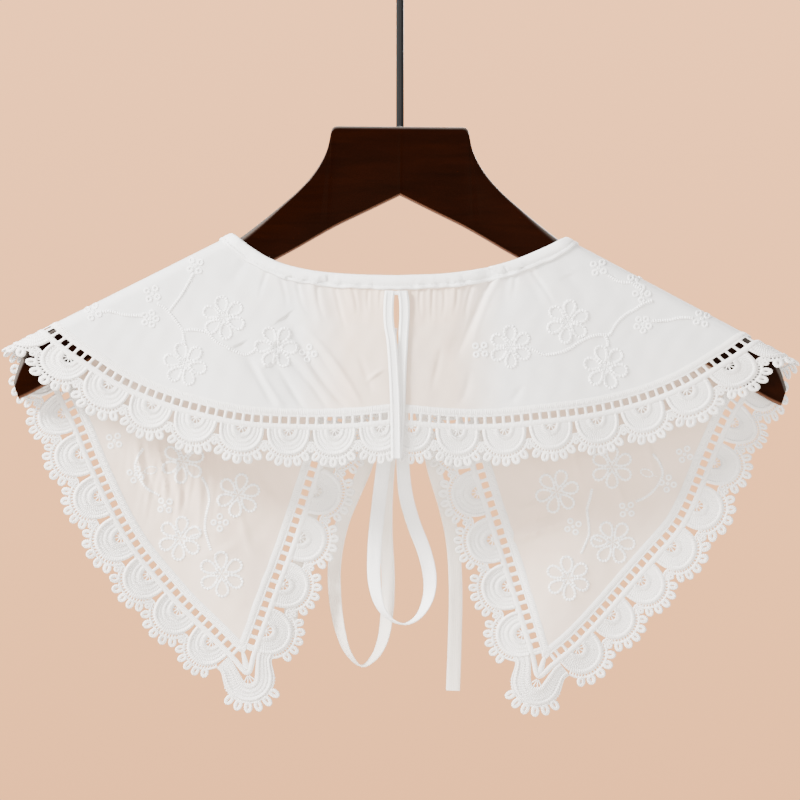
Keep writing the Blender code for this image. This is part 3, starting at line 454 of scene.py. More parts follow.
BACK_VINES = [
    [(-80.8, 126.3), (-86.5, 129.5), (-93.9, 127.5), (-99.0, 124.9), (-104.1, 122.3), (-109.0, 117.5), (-116.0, 115.5), (-122.9, 116.1)],
    [(-122.9, 116.1), (-122.6, 120.0), (-121.8, 124.0)],
    [(-122.9, 116.1), (-128.9, 108.1), (-133.6, 103.0), (-137.7, 100.7)],
    [(-131.0, 105.0), (-124.5, 96.5), (-119.5, 88.0), (-117.0, 83.5)],
    [(-146.5, 107.5), (-156.0, 107.0), (-164.5, 105.0), (-169.5, 105.2)],
    [(74.0, 126.3), (81.5, 129.6), (89.9, 128.6), (96.5, 126.0), (101.9, 122.3), (110.0, 118.8), (118.9, 118.4)],
    [(116.0, 118.3), (117.6, 122.0), (117.8, 125.2)],
    [(118.9, 118.4), (123.5, 111.0), (128.5, 106.5), (133.7, 103.6), (138.5, 100.4), (142.8, 99.0)],
    [(137.7, 93.3), (131.0, 89.0), (124.5, 88.2), (117.5, 84.0)],
    [(142.5, 110.5), (152.0, 110.0), (160.5, 108.5), (166.5, 109.0)],
]
FRONT_FLOWERS = [
    Flower(-102.0, 254.9, 13.6, 28.0),
    Flower(-125.7, 234.5, 13.2, 37.0),
    Flower(-92.5, 209.8, 13.0, 42.0),
    Flower(-124.0, 190.6, 12.8, 38.0),
    Flower(96.2, 257.2, 13.2, 25.0),
    Flower(121.8, 236.7, 13.2, 5.0),
    Flower(89.9, 207.7, 13.0, 45.0),
    Flower(121.2, 193.5, 12.6, 30.0),
]
FRONT_FLORETS = [
    Floret(-151.1, 198.0, 4, 20.0),
    Floret(-134.3, 215.7, 4, 50.0),
    Floret(-103.0, 225.3, 4, 0.0),
    Floret(-163.3, 178.7, 4, 35.0),
    Floret(153.1, 203.1, 4, 10.0),
    Floret(129.7, 217.9, 4, 40.0),
    Floret(99.0, 227.6, 4, 65.0),
    Floret(162.7, 186.3, 4, 25.0),
]
FRONT_VINES = [
    [(-113.2, 199.2), (-110.0, 206.0), (-109.2, 212.8), (-110.8, 220.5), (-111.5, 228.7), (-110.0, 235.5), (-108.1, 241.3)],
    [(-146.8, 183.2), (-150.2, 188.5), (-151.4, 194.0), (-148.5, 201.0), (-144.5, 206.0), (-137.7, 210.0)],
    [(-114.0, 232.0), (-117.5, 232.6), (-120.0, 233.5)],
    [(109.8, 206.0), (108.5, 212.0), (107.0, 217.4), (107.8, 225.0), (108.1, 231.6), (106.0, 237.5), (103.6, 243.0)],
    [(144.5, 186.1), (148.5, 191.5), (150.2, 197.4), (148.0, 203.0), (144.5, 207.7), (139.5, 211.5), (134.9, 213.4)],
    [(110.5, 234.0), (113.5, 235.5), (115.5, 236.0)],
]

LEAVES = [(Spot(-142.4, 195.5), -12.0), (Spot(141.0, 197.0), 200.0)]
PETAL_STITCH = 0.95
VINE_STITCH = 0.98

# The camera that the photograph was taken with
CAMERA_AWAY = 2.5
CAMERA_HEIGHT = -0.2733
SENSOR_WIDTH = 36.0
FRAME_WIDTH = 0.4552

LACE_CORDS = [(4.9, 1.35, 0.42), (8.2, 0.85, 0.13), (10.3, 0.7, 0.1), (12.5, 0.95, 0.66)]
THREAD_FLAT = 0.28
STITCH_RELIEF = 0.19
STITCH_WIDTH = 0.42


def ridge_frame(half):
    """The ridge's start, its direction outwards and the direction square to it, as x and drop."""
    start = np.array(half.neck)
    ahead = np.array(half.tip) - start
    ahead /= np.linalg.norm(ahead)
    side = 1.0 if ahead[0] < 0.0 else -1.0
    return start, ahead, np.array([ahead[1], -ahead[0]]) * side


def relief(half, x, drop, across):
    """How far the cloth stands out of its plain fold: gathers, drag folds and slow waves."""
    height = np.zeros_like(x)
    for fold in half.folds:
        way = np.array([fold.to_x - fold.x, fold.to_drop - fold.drop])
        length = np.linalg.norm(way)
        way /= length
        here = (x - fold.x) * way[0] + (drop - fold.drop) * way[1]
        aside = (x - fold.x) * way[1] - (drop - fold.drop) * way[0]
        reach = np.clip(here / length, -0.15, 1.0)
        fade = np.where(here / length < -0.15, 0.0, np.cos(reach * math.pi / 2.0) ** 1.2)
        height -= fold.depth * fade * np.exp(-((aside / fold.width) ** 2))
    low = np.clip((drop - 90.0) / 75.0, 0.0, 1.3)
    height += BACK_WAVE * low * np.cos(math.tau * (x + 8.0) / BACK_WAVE_LENGTH)
    front = FRONT_WAVE * np.clip((drop - 110.0) / 120.0, 0.0, 1.0)
    front = front * np.cos(math.tau * (np.abs(x) + 0.35 * drop) / FRONT_WAVE_LENGTH)
    settle = np.clip((np.abs(across) - 10.0) / 18.0, 0.0, 1.0)
    settle = settle * settle * (3.0 - 2.0 * settle)
    return np.where(across > 0.0, height, front) * settle


def plain_fold(half, along, across):
    """The flat cloth bent over the arm, with no relief: x, drop, y and the way out of it."""
    start, ahead, square = ridge_frame(half)
    steep = np.where(across > 0.0, BACK_STEEP, FRONT_STEEP)
    facing = np.where(across > 0.0, -1.0, 1.0)
    bend = np.minimum(np.abs(across) / RIDGE_RADIUS, steep)
    run = np.abs(across) - RIDGE_RADIUS * bend
    fall = RIDGE_RADIUS * (1.0 - np.cos(bend)) + run * np.sin(bend)
    out = RIDGE_RADIUS * np.sin(bend) + run * np.cos(bend)
    x = start[0] + along * ahead[0] + fall * square[0]
    drop = start[1] + along * ahead[1] + fall * square[1]
    soft = math.cos(BACK_STEEP) * abs(square[0])
    centre = np.where(across > 0.0, soft * (np.hypot(x, CENTRE_SOFTNESS) - np.abs(x)), 0.0)
    normal = np.stack([-np.cos(bend) * square[0], facing * np.sin(bend), np.cos(bend) * square[1]], -1)
    return x, drop, facing * out + centre, normal


def draped(half, along, across):
    x, drop, y, normal = plain_fold(half, along, across)
    height = relief(half, x, drop, across)
    place = np.stack([x, y, -WOOD_BELOW_SEAT - drop], -1)
    return place + normal * height[..., None]


def surface(half, flat, lift=0.0):
    """Points of the hanging cloth for flat places, moved out of it by lift."""
    flat = np.asarray(flat, float)
    along, across = flat[..., 0], flat[..., 1]
    small = 0.3
    here = draped(half, along, across)
    ahead = draped(half, along + small, across) - draped(half, along - small, across)
    aside = draped(half, along, across + small) - draped(half, along, across - small)
    normal = np.cross(ahead, aside)
    normal /= np.linalg.norm(normal, axis=-1, keepdims=True)
    rough = plain_fold(half, along, across)[3]
    normal *= np.sign(np.sum(normal * rough, -1, keepdims=True))
    return here + normal * np.asarray(lift, float)[..., None]


def crease_height(half, flat):
    """Fine creases of the cloth itself, over the form that it shares with the lace."""
    x, drop = plain_fold(half, flat[..., 0], flat[..., 1])[:2]
    on_front = flat[..., 1] < 0.0
    height = np.zeros_like(x)
    for fold in half.creases:
        way = np.array([fold.to_x - fold.x, fold.to_drop - fold.drop])
        length = np.linalg.norm(way)
        way /= length
        here = ((x - fold.x) * way[0] + (drop - fold.drop) * way[1]) / length
        aside = (x - fold.x) * way[1] - (drop - fold.drop) * way[0]
        aside += 0.05 * length * np.sin(here * math.pi) * math.sin(fold.x * 1.7)
        from_seam = fold.drop < 94.0 and fold.width < 2.1
        middle = np.clip(here, 0.0, 1.0) if from_seam else np.clip(here * 2.0 - 1.0, -1.0, 1.0)
        fade = np.cos(middle * math.pi / 2.0)
        fade = np.where((here < -0.3) | (here > 1.0), 0.0, fade)
        right_side = on_front if fold.drop > 162.5 else ~on_front
        height -= np.where(right_side, fold.depth * fade * np.exp(-((aside / (CREASE_WIDTH * fold.width)) ** 2)), 0.0)
    settle = np.clip((np.abs(flat[..., 1]) - 6.0) / 10.0, 0.0, 1.0)
    ripple = np.sin(x * 0.41 + 1.3 * np.sin(drop * 0.11)) * np.sin(drop * 0.23 + x * 0.05)
    if half.name == "left":
        near = np.exp(-(((x + 126.0) / 27.0) ** 2) - ((drop - 199.0) / 26.0) ** 2)
        crinkle = np.sin(math.tau * (x + 0.12 * drop + 1.5 * np.sin(drop * 0.05 + x * 0.03)) / 4.7)
        crinkle *= 0.6 + 0.4 * np.sin(drop * 0.13 + x * 0.31)
        height += np.where(on_front, 0.26 * near * crinkle, 0.0)
    return (CREASE_DEPTH * height + 0.16 * ripple) * settle


def flat_of(half, spots, back=True):
    """Flat places of spots that are seen on the hanging cloth's back or front."""
    start, ahead, square = ridge_frame(half)
    steep = BACK_STEEP if back else FRONT_STEEP
    from_neck = np.asarray([[spot[0], spot[1]] for spot in spots], float) - start
    fall = np.maximum(from_neck @ square, 0.0)
    bent = RIDGE_RADIUS * (1.0 - math.cos(steep))
    inside = RIDGE_RADIUS * np.arccos(1.0 - np.minimum(fall, bent) / RIDGE_RADIUS)
    across = np.where(fall < bent, inside, RIDGE_RADIUS * steep + (fall - bent) / math.sin(steep))
    return np.stack([from_neck @ ahead, across if back else -across], -1)


def smooth(rows, step, place=2):
    """A centripetal curve through the rows; their first columns are the place."""
    rows = np.array(rows, float)
    ends = np.vstack([2.0 * rows[0] - rows[1], rows, 2.0 * rows[-1] - rows[-2]])
    curve = []
    for i in range(1, len(ends) - 2):
        knots = [0.0]
        for k in range(i - 1, i + 2):
            knots.append(knots[-1] + np.linalg.norm(ends[k + 1, :place] - ends[k, :place]) ** 0.5)
        p0, p1, p2, p3 = ends[i - 1 : i + 3]
        t0, t1, t2, t3 = knots
        count = max(1, round(float(np.linalg.norm(p2[:place] - p1[:place])) / step))
        for k in range(count):
            t = t1 + (t2 - t1) * k / count
            a1 = (t1 - t) / (t1 - t0) * p0 + (t - t0) / (t1 - t0) * p1
            a2 = (t2 - t) / (t2 - t1) * p1 + (t - t1) / (t2 - t1) * p2
            a3 = (t3 - t) / (t3 - t2) * p2 + (t - t2) / (t3 - t2) * p3
            b1 = (t2 - t) / (t2 - t0) * a1 + (t - t0) / (t2 - t0) * a2
            b2 = (t3 - t) / (t3 - t1) * a2 + (t - t1) / (t3 - t1) * a3
            curve.append((t2 - t) / (t2 - t1) * b1 + (t - t1) / (t2 - t1) * b2)
    curve.append(rows[-1])
    return np.array(curve)


def lengths(curve, place=2):
    steps = np.linalg.norm(np.diff(curve[:, :place], axis=0), axis=1)
    return np.concatenate([[0.0], np.cumsum(steps)])


def at(curve, distance, place=2):
    """Rows of a curve at distances along it."""
    marks = lengths(curve, place)
    columns = [np.interp(distance, marks, curve[:, k]) for k in range(curve.shape[1])]
    return np.stack(columns, -1)


def resampled(curve, count, place=2):
    return at(curve, np.linspace(0.0, lengths(curve, place)[-1], count), place)


def beside(curve, distance, offset, turn=1.0):
    """Flat places at distances along a flat curve, offset square to it."""
    distance = np.asarray(distance, float)
    total = lengths(curve)[-1]
    before = np.clip(distance - 2.0, 0.0, total - 4.0)
    way = at(curve, before + 4.0) - at(curve, before)
    way /= np.linalg.norm(way, axis=-1, keepdims=True)
    normal = np.stack([-way[..., 1], way[..., 0]], -1) * turn
    return at(curve, distance) + normal * np.asarray(offset, float)[..., None]


def moved(curve, offset, turn=1.0):
    return beside(curve, lengths(curve), np.full(len(curve), offset), turn)


def crossing(one, other):
    """Distances along two flat curves to where they cross."""
    one_marks, other_marks = lengths(one), lengths(other)
    for i in range(len(one) - 1):
        first = one[i + 1] - one[i]
        second = np.diff(other, axis=0)
        gap = other[:-1] - one[i]
        scale = first[0] * second[:, 1] - first[1] * second[:, 0]
        scale = np.where(np.abs(scale) < 1e-12, 1e-12, scale)
        t = (gap[:, 0] * second[:, 1] - gap[:, 1] * second[:, 0]) / scale
        u = (gap[:, 0] * first[1] - gap[:, 1] * first[0]) / scale
        hits = np.nonzero((t >= 0.0) & (t <= 1.0) & (u >= 0.0) & (u <= 1.0))[0]
        if len(hits):
            k = hits[0]
            first_at = one_marks[i] + t[k] * (one_marks[i + 1] - one_marks[i])
            return first_at, other_marks[k] + u[k] * (other_marks[k + 1] - other_marks[k])
    raise ValueError("the curves do not cross")


def mark_across(curve, across):
    """Distance along a flat curve to where it reaches a given place across the ridge."""
    return float(np.interp(-across, -curve[:, 1], lengths(curve)))


def flat_lines(half):
    """The neckline, the hem's row of holes and the front edge's row of holes, laid out flat."""
    neck = np.vstack([flat_of(half, half.back_neck), flat_of(half, half.front_neck, back=False)])
    hem = np.vstack([flat_of(half, half.back_hem), flat_of(half, half.front_hem, back=False)])
    inner = flat_of(half, half.inner, back=False)
    return smooth(neck, 1.0), smooth(hem, 1.0), smooth(inner, 1.0)


def lean_to(curve, distance, way, turn=1.0):
    """How far a column at this distance shifts along the curve for each unit out, to lie along way."""
    ahead = at(curve, distance + 2.0) - at(curve, max(distance - 2.0, 0.0))
    square = np.array([-ahead[1], ahead[0]]) * turn
    return -(square[0] * way[1] - square[1] * way[0]) / (ahead[0] * way[1] - ahead[1] * way[0])


def join(shapes):
    """One shape of several."""
    points, faces, uv = [], [], []
    start = 0
    for shape in shapes:
        points.append(shape.points)
        faces.append(shape.faces + start)
        uv.append(shape.uv)
        start += len(shape.points)
    return Shape(np.vstack(points), np.vstack(faces), np.vstack(uv))


def grid_faces(rows, columns, wrap_rows=False, wrap_columns=False):
    """Quads of a grid of points, closed round where asked."""
    i = np.arange(rows if wrap_rows else rows - 1)
    j = np.arange(columns if wrap_columns else columns - 1)
    i, j = [part.ravel() for part in np.meshgrid(i, j, indexing="ij")]
    far_i, far_j = (i + 1) % rows, (j + 1) % columns
    return np.stack([i * columns + j, i * columns + far_j, far_i * columns + far_j, far_i * columns + j], -1)


def slab(top, bottom, uv):
    """A closed plate between two grids of points."""
    rows, columns = top.shape[:2]
    faces = [grid_faces(rows, columns)]
    count = rows * columns
    faces.append(faces[0][:, ::-1] + count)
    index = np.arange(count).reshape(rows, columns)
    rim = np.concatenate([index[0], index[1:, -1], index[-1, -2::-1], index[-2:0:-1, 0]])
    nxt = np.roll(rim, -1)
    faces.append(np.stack([nxt, rim, rim + count, nxt + count], -1))
    uv = uv.reshape(-1, 2)
    points = np.concatenate([top.reshape(-1, 3), bottom.reshape(-1, 3)])
    return Shape(points, np.vstack(faces), np.concatenate([uv, uv]))


def sweep(rings, around=1.0, closed=False):
    """A solid through rings of equal, even size; its UV runs along it in millimetres."""
    rings = np.asarray(rings, float)
    count, size = rings.shape[:2]
    faces = [grid_faces(count, size, wrap_rows=closed, wrap_columns=True)]
    if not closed:
        cap = np.array([[0, i, i + 1, i + 2] for i in range(1, size - 2, 2)])
        faces += [cap, cap[:, ::-1] + (count - 1) * size]
    middle = rings.mean(axis=1)
    run = np.concatenate([[0.0], np.cumsum(np.linalg.norm(np.diff(middle, axis=0), axis=1))])
    uv = np.stack(np.broadcast_arrays(run[:, None], around * np.arange(size)[None] / size), -1)
    return Shape(rings.reshape(-1, 3), np.vstack(faces), uv.reshape(-1, 2))


def cord_on(path, half_width, half_height, lift=0.0, sides=6, closed=False):
    """A cord that lies in the flat plane, with an oval cross-section."""
    path = np.asarray(path, float)
    if closed:
        ways = np.roll(path, -1, axis=0) - np.roll(path, 1, axis=0)
    else:
        ways = np.gradient(path, axis=0)
    ways /= np.linalg.norm(ways, axis=1, keepdims=True)
    beside_it = np.stack([-ways[:, 1], ways[:, 0]], -1)
    angle = np.arange(sides) * math.tau / sides
    wide = np.asarray(half_width, float) * np.ones(len(path))
    high = np.asarray(half_height, float) * np.ones(len(path))
    flat = path[:, None] + beside_it[:, None] * (wide[:, None] * np.cos(angle))[..., None]
    height = lift + high[:, None] * np.sin(angle)
    return sweep(np.concatenate([flat, height[..., None]], -1), 2.0, closed)


def straight(start, end, half_width, half_height, sides=4, steps=2, lift=0.0):
    path = np.linspace(start, end, steps + 1)
    return cord_on(path, half_width, half_height, lift, sides)


def oval(centre, long, wide, turn, count, fuller=0.0):
    """Points round an oval whose long axis points along turn, fuller at that end."""
    angle = np.arange(count) * math.tau / count
    x, y = long * np.cos(angle), wide * np.sin(angle) * (1.0 + fuller * np.cos(angle))
    c, s = math.cos(turn), math.sin(turn)
    return np.stack([centre[0] + x * c - y * s, centre[1] + x * s + y * c], -1)


def rope(path, radius, closed=False, lift=0.1):
    """A twisted stitch: a cord that swells and narrows along its way."""
    beat = np.where(np.arange(len(path)) % 2 == 0, 1.2, 0.6)
    return cord_on(path, radius * beat, radius * 0.9 * beat, lift, 6, closed)


def make_piece(name, shape, material, sharp=50.0):
    """A piece of the collar from a shape in millimetres; it rides on the one body."""
    points, faces = shape.points * MM, shape.faces
    mesh = bpy.data.meshes.new(name)
    mesh.from_pydata(points.tolist(), [], faces.tolist())
    layer = mesh.uv_layers.new(name="cloth")
    corners = np.zeros(len(mesh.loops), np.int32)
    mesh.loops.foreach_get("vertex_index", corners)
    layer.data.foreach_set("uv", (shape.uv[corners] * MM).astype(np.float32).ravel())
    mesh.update()
    mesh.shade_smooth()
    mesh.set_sharp_from_angle(angle=math.radians(sharp))
    mesh.materials.append(material)
    piece = bpy.data.objects.new(name, mesh)
    bpy.context.scene.collection.objects.link(piece)
    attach(piece, "root")
    return piece


def new_material(name, colour, roughness, metallic=0.0):
    material = bpy.data.materials.new(name)
    material.use_nodes = True
    shader = material.node_tree.nodes["Principled BSDF"]
    shader.inputs["Base Color"].default_value = (*colour, 1.0)
    shader.inputs["Roughness"].default_value = roughness
    shader.inputs["Metallic"].default_value = metallic
    return material, material.node_tree, shader


def node(tree, kind, **values):
    made = tree.nodes.new(kind)
    for key, value in values.items():
        if key in made.inputs:
            made.inputs[key].default_value = value
        else:
            setattr(made, key.lower(), value)
    return made


def weave_height(tree, pitch, cross_pitch):
    """Crossed threads in the piece's own flat coordinates."""
    place = node(tree, "ShaderNodeUVMap")
    place.uv_map = "cloth"
    split = node(tree, "ShaderNodeSeparateXYZ")
    tree.links.new(place.outputs["UV"], split.inputs[0])
    waves = []
    for axis, size in (("X", pitch), ("Y", cross_pitch)):
        scaled = node(tree, "ShaderNodeMath", operation="MULTIPLY")
        scaled.inputs[1].default_value = math.tau / (size * MM)
        tree.links.new(split.outputs[axis], scaled.inputs[0])
        wave = node(tree, "ShaderNodeMath", operation="SINE")
        tree.links.new(scaled.outputs[0], wave.inputs[0])
        waves.append(wave)
    total = node(tree, "ShaderNodeMath", operation="ADD")
    tree.links.new(waves[0].outputs[0], total.inputs[0])
    tree.links.new(waves[1].outputs[0], total.inputs[1])
    return total


def add_bump(tree, shader, height, strength, distance):
    bump = node(tree, "ShaderNodeBump")
    bump.inputs["Strength"].default_value = strength
    bump.inputs["Distance"].default_value = distance
    tree.links.new(height.outputs[0], bump.inputs["Height"])
    tree.links.new(bump.outputs["Normal"], shader.inputs["Normal"])
    return bump


def noise_at(tree, scale, detail=4.0):
    place = node(tree, "ShaderNodeTexCoord")
    noise = node(tree, "ShaderNodeTexNoise")
    noise.inputs["Scale"].default_value = scale
    noise.inputs["Detail"].default_value = detail
    tree.links.new(place.outputs["Object"], noise.inputs["Vector"])
    return noise


def summed(tree, first, second, share):
    """The first height with a share of the second added."""
    part = node(tree, "ShaderNodeMath", operation="MULTIPLY_ADD")
    part.inputs[1].default_value = share
    tree.links.new(second.outputs[0], part.inputs[0])
    tree.links.new(first.outputs[0], part.inputs[2])
    return part


def cotton_material():
    """Fine lawn: a plain weave, a soft sheen, and painted light in the base colour: a warmer, darker tint that paints
    light shining through where the cloth lies single, and paints shade on the front panels.
    """
    material, tree, shader = new_material("cotton", (0.86, 0.86, 0.85), 0.85)
    shader.inputs["Alpha"].default_value = 0.74
    shader.inputs["Sheen Weight"].default_value = 0.12
    shader.inputs["Sheen Roughness"].default_value = 0.5
    shader.inputs["Specular IOR Level"].default_value = 0.3
    painted_backlight_and_shade = node(tree, "ShaderNodeAttribute", attribute_name="painted_backlight_and_shade")
    # Painted light: the base colour goes from plain white to a warm, darker tint by the painted backlight-and-shade
    # mask, with random patches mixed in.
    tone = node(tree, "ShaderNodeMix", data_type="RGBA")
    tone.inputs["A"].default_value = (0.87, 0.867, 0.857, 1.0)
    tone.inputs["B"].default_value = (0.84, 0.69, 0.575, 1.0)
    patches = noise_at(tree, 38.0, 2.0)
    share = node(tree, "ShaderNodeMath", operation="MULTIPLY_ADD")
    share.inputs[1].default_value = 0.3
    tree.links.new(patches.outputs["Fac"], share.inputs[0])
    tree.links.new(painted_backlight_and_shade.outputs["Fac"], share.inputs[2])
    less = node(tree, "ShaderNodeMath", operation="SUBTRACT", use_clamp=True)
    less.inputs[1].default_value = 0.15
    tree.links.new(share.outputs[0], less.inputs[0])
    tree.links.new(less.outputs[0], tone.inputs["Factor"])
    tree.links.new(tone.outputs["Result"], shader.inputs["Base Color"])
    height = summed(tree, weave_height(tree, 0.36, 0.36), noise_at(tree, 900.0), 1.6)
    add_bump(tree, shader, height, 0.35, 0.00008)
    return material


def thread_material(name, pitch, colour):
    """Satin stitches: ribs across the way that the thread runs, and loose fibre."""
    material, tree, shader = new_material(name, colour, 0.72)
    shader.inputs["Sheen Weight"].default_value = 0.15
    shader.inputs["Specular IOR Level"].default_value = 0.35
    height = summed(tree, weave_height(tree, pitch, pitch * 3.1), noise_at(tree, 1400.0), 1.5)
    add_bump(tree, shader, height, 0.5, 0.00016)
    return material


def tape_material(name, colour, cover=1.0):
    """Folded cotton tape with fine ribs across it; where it is thin, light comes through."""
    material, tree, shader = new_material(name, colour, 0.8)
    shader.inputs["Alpha"].default_value = cover
    shader.inputs["Sheen Weight"].default_value = 0.12
    shader.inputs["Specular IOR Level"].default_value = 0.3
    height = summed(tree, weave_height(tree, 0.45, 0.45), noise_at(tree, 500.0), 2.0)
    add_bump(tree, shader, height, 0.4, 0.0001)
    return material


def wood_material():
    """Dark stained wood under satin lacquer, with fine grain along the arm, a painted highlight in lighter brown along
    the lower edges and a painted grey sheen along the top edges.
    """
    material, tree, shader = new_material("stained_wood", (0.03, 0.01, 0.006), 0.34)
    shader.inputs["Specular IOR Level"].default_value = 0.03
    shader.inputs["Specular Tint"].default_value = (1.0, 0.5, 0.32, 1.0)
    place = node(tree, "ShaderNodeTexCoord")
    stretch = node(tree, "ShaderNodeMapping")
    stretch.inputs["Scale"].default_value = (7.0, 40.0, 46.0)
    tree.links.new(place.outputs["Object"], stretch.inputs["Vector"])
    grain = node(tree, "ShaderNodeTexNoise")
    grain.inputs["Scale"].default_value = 3.0
    grain.inputs["Detail"].default_value = 8.0
    grain.inputs["Distortion"].default_value = 0.6
    tree.links.new(stretch.outputs["Vector"], grain.inputs["Vector"])
    ramp = node(tree, "ShaderNodeValToRGB")
    ramp.color_ramp.elements[0].position = 0.3
    ramp.color_ramp.elements[0].color = (0.0026, 0.0005, 0.00012, 1.0)
    ramp.color_ramp.elements[1].position = 0.75
    ramp.color_ramp.elements[1].color = (0.0066, 0.0011, 0.00022, 1.0)
    tree.links.new(grain.outputs["Fac"], ramp.inputs["Fac"])
    # Painted highlight: the lower rounded edges are a lighter brown.
    painted_under_highlight = node(tree, "ShaderNodeAttribute", attribute_name="painted_under_highlight")
    tone = node(tree, "ShaderNodeMix", data_type="RGBA")
    tone.inputs["B"].default_value = (0.085, 0.038, 0.022, 1.0)
    tree.links.new(painted_under_highlight.outputs["Fac"], tone.inputs["Factor"])
    tree.links.new(ramp.outputs["Color"], tone.inputs["A"])
    # Painted sheen: the top rounded edges are greyer.
    painted_top_sheen = node(tree, "ShaderNodeAttribute", attribute_name="painted_top_sheen")
    rim = node(tree, "ShaderNodeMix", data_type="RGBA")
    rim.inputs["B"].default_value = (0.062, 0.053, 0.047, 1.0)
    tree.links.new(painted_top_sheen.outputs["Fac"], rim.inputs["Factor"])
    tree.links.new(tone.outputs["Result"], rim.inputs["A"])
    tree.links.new(rim.outputs["Result"], shader.inputs["Base Color"])
    add_bump(tree, shader, grain, 0.12, 0.0004)
    return material


def wire_material():
    """Dark plated wire with faint draw marks."""
    material, tree, shader = new_material("plated_wire", (0.011, 0.0112, 0.0115), 0.2)
    shader.inputs["Specular IOR Level"].default_value = 0.045
    marks = noise_at(tree, 700.0, 6.0)
    spread = node(tree, "ShaderNodeMapRange")
    spread.inputs["To Min"].default_value = 0.12
    spread.inputs["To Max"].default_value = 0.26
    tree.links.new(marks.outputs["Fac"], spread.inputs["Value"])
    tree.links.new(spread.outputs["Result"], shader.inputs["Roughness"])
    add_bump(tree, shader, marks, 0.08, 0.00005)
    return material


def floor_material():
    material, tree, shader = new_material("pale_floor", (0.72, 0.66, 0.6), 0.8)
    add_bump(tree, shader, noise_at(tree, 60.0), 0.1, 0.001)
    return material


def panel(half, material):
    """One half of the cape as a thin cloth, with its gathers and creases."""
    neck, hem, inner = flat_lines(half)
    top = moved(neck, BINDING_HALF - 1.6)
    edge = moved(hem, PANEL_INSIDE - 0.4)
    front = moved(inner, PANEL_INSIDE - 0.4, -1.0)
    top_end = crossing(top, front)[0]
    edge_end = crossing(edge, front)[0]
    columns, rows = 440, 90
    ridge_share = 0.55
    top_ridge, edge_ridge = mark_across(top, 0.0), mark_across(edge, 0.0)
    back_columns = int(columns * ridge_share)
    share = np.linspace(0.0, 1.0, back_columns, endpoint=False)
    first = SLIT_INSET[half.name]
    tops = [first + (top_ridge - first) * share, np.linspace(top_ridge, top_end, columns - back_columns)]
    edges = [edge_ridge * share, np.linspace(edge_ridge, edge_end, columns - back_columns)]
    start, end = at(top, np.concatenate(tops)), at(edge, np.concatenate(edges))
    down = np.linspace(0.0, 1.0, rows)[:, None, None]
    flat = start[None] * (1.0 - down) + end[None] * down
    height = crease_height(half, flat) * np.clip((1.0 - down[..., 0]) / 0.07, 0.0, 1.0)
    outer = surface(half, flat, height + CLOTH_THICK / 2.0)
    inside = surface(half, flat, height - CLOTH_THICK / 2.0)
    piece = make_piece(f"cloth_{half.name}", slab(outer, inside, flat), material)
    x, drop = np.abs(outer[..., 0]).ravel(), -WOOD_BELOW_SEAT - outer[..., 2].ravel()
    # Painted light: a mask for the warm, darker tint of the cloth's base colour. At the centre back it paints light
    # shining through the single layer; on the front panels it paints shade and shine-through, strongest round their
    # middle.
    front = 0.92 + 0.3 * np.exp(-(((x - 72.0) / 36.0) ** 2) - ((drop - 178.0) / 42.0) ** 2)
    painted_backlight_and_shade = np.where(flat[..., 1].ravel() < 0.0, front, np.clip((60.0 - x) / 30.0, 0.0, 1.0))
    layer = piece.data.attributes.new("painted_backlight_and_shade", "FLOAT", "POINT")
    layer.data.foreach_set("value", np.concatenate([painted_backlight_and_shade, painted_backlight_and_shade]).astype(np.float32))
    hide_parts(f"panel_{half.name}")
    rim = np.concatenate([flat[0], flat[:, -1], flat[-1, ::-1], flat[::-1, 0]]) * MM
    nxt = np.roll(rim, -1, axis=0)
    area = abs(float(np.sum(rim[:, 0] * nxt[:, 1] - nxt[:, 0] * rim[:, 1]))) / 2.0
    size = tuple(round(float(extent), 3) for extent in np.ptp(rim, axis=0))
    return piece, size, round(area, 4)


def superoval(angle, radius, scale):
    """A place in a fan: its cords are round at the eyelet and fuller further out."""
    power = 2.0 / (2.0 + 0.22 * radius / BODY_RADIUS)
    sine, cosine = np.sin(angle), np.cos(angle)
    x = radius * scale[0] * np.sign(sine) * np.abs(sine) ** power
    y = FAN_BASE + radius * scale[1] * np.abs(cosine) ** power
    return np.stack(np.broadcast_arrays(x, y), -1)


def body_height(radius):
    """Half the thickness of a fan's ground, with its raised cords."""
    height = np.full_like(radius, THREAD_FLAT)
    for middle, wide, rise in LACE_CORDS:
        away = np.clip(np.abs(radius - middle) / wide, 0.0, 1.0)
        height = np.maximum(height, THREAD_FLAT + rise * np.sqrt(1.0 - away**2))
    return height


def body_radii():
    radii = [3.4]
    for middle, wide, _ in LACE_CORDS:
        radii += [middle + wide * share for share in (-0.98, -0.85, -0.45, 0.0, 0.45, 0.85, 0.98)]
    return np.array(sorted(radii) + [BODY_RADIUS + 0.4])


def arc_marks(scale, radius, reach, spacing, middle=0.0):
    """Angles in a fan at even distances along one of its cords."""
    angle = np.linspace(-math.pi / 2.0, math.pi / 2.0, 721)
    curve = superoval(angle, radius, scale)
    run = lengths(curve)
    run -= run[-1] / 2.0
    count = int(reach / spacing)
    wanted = middle + spacing * np.arange(-count, count + 1)
    wanted = wanted[np.abs(wanted - middle) <= reach]
    return np.interp(wanted, run, angle)


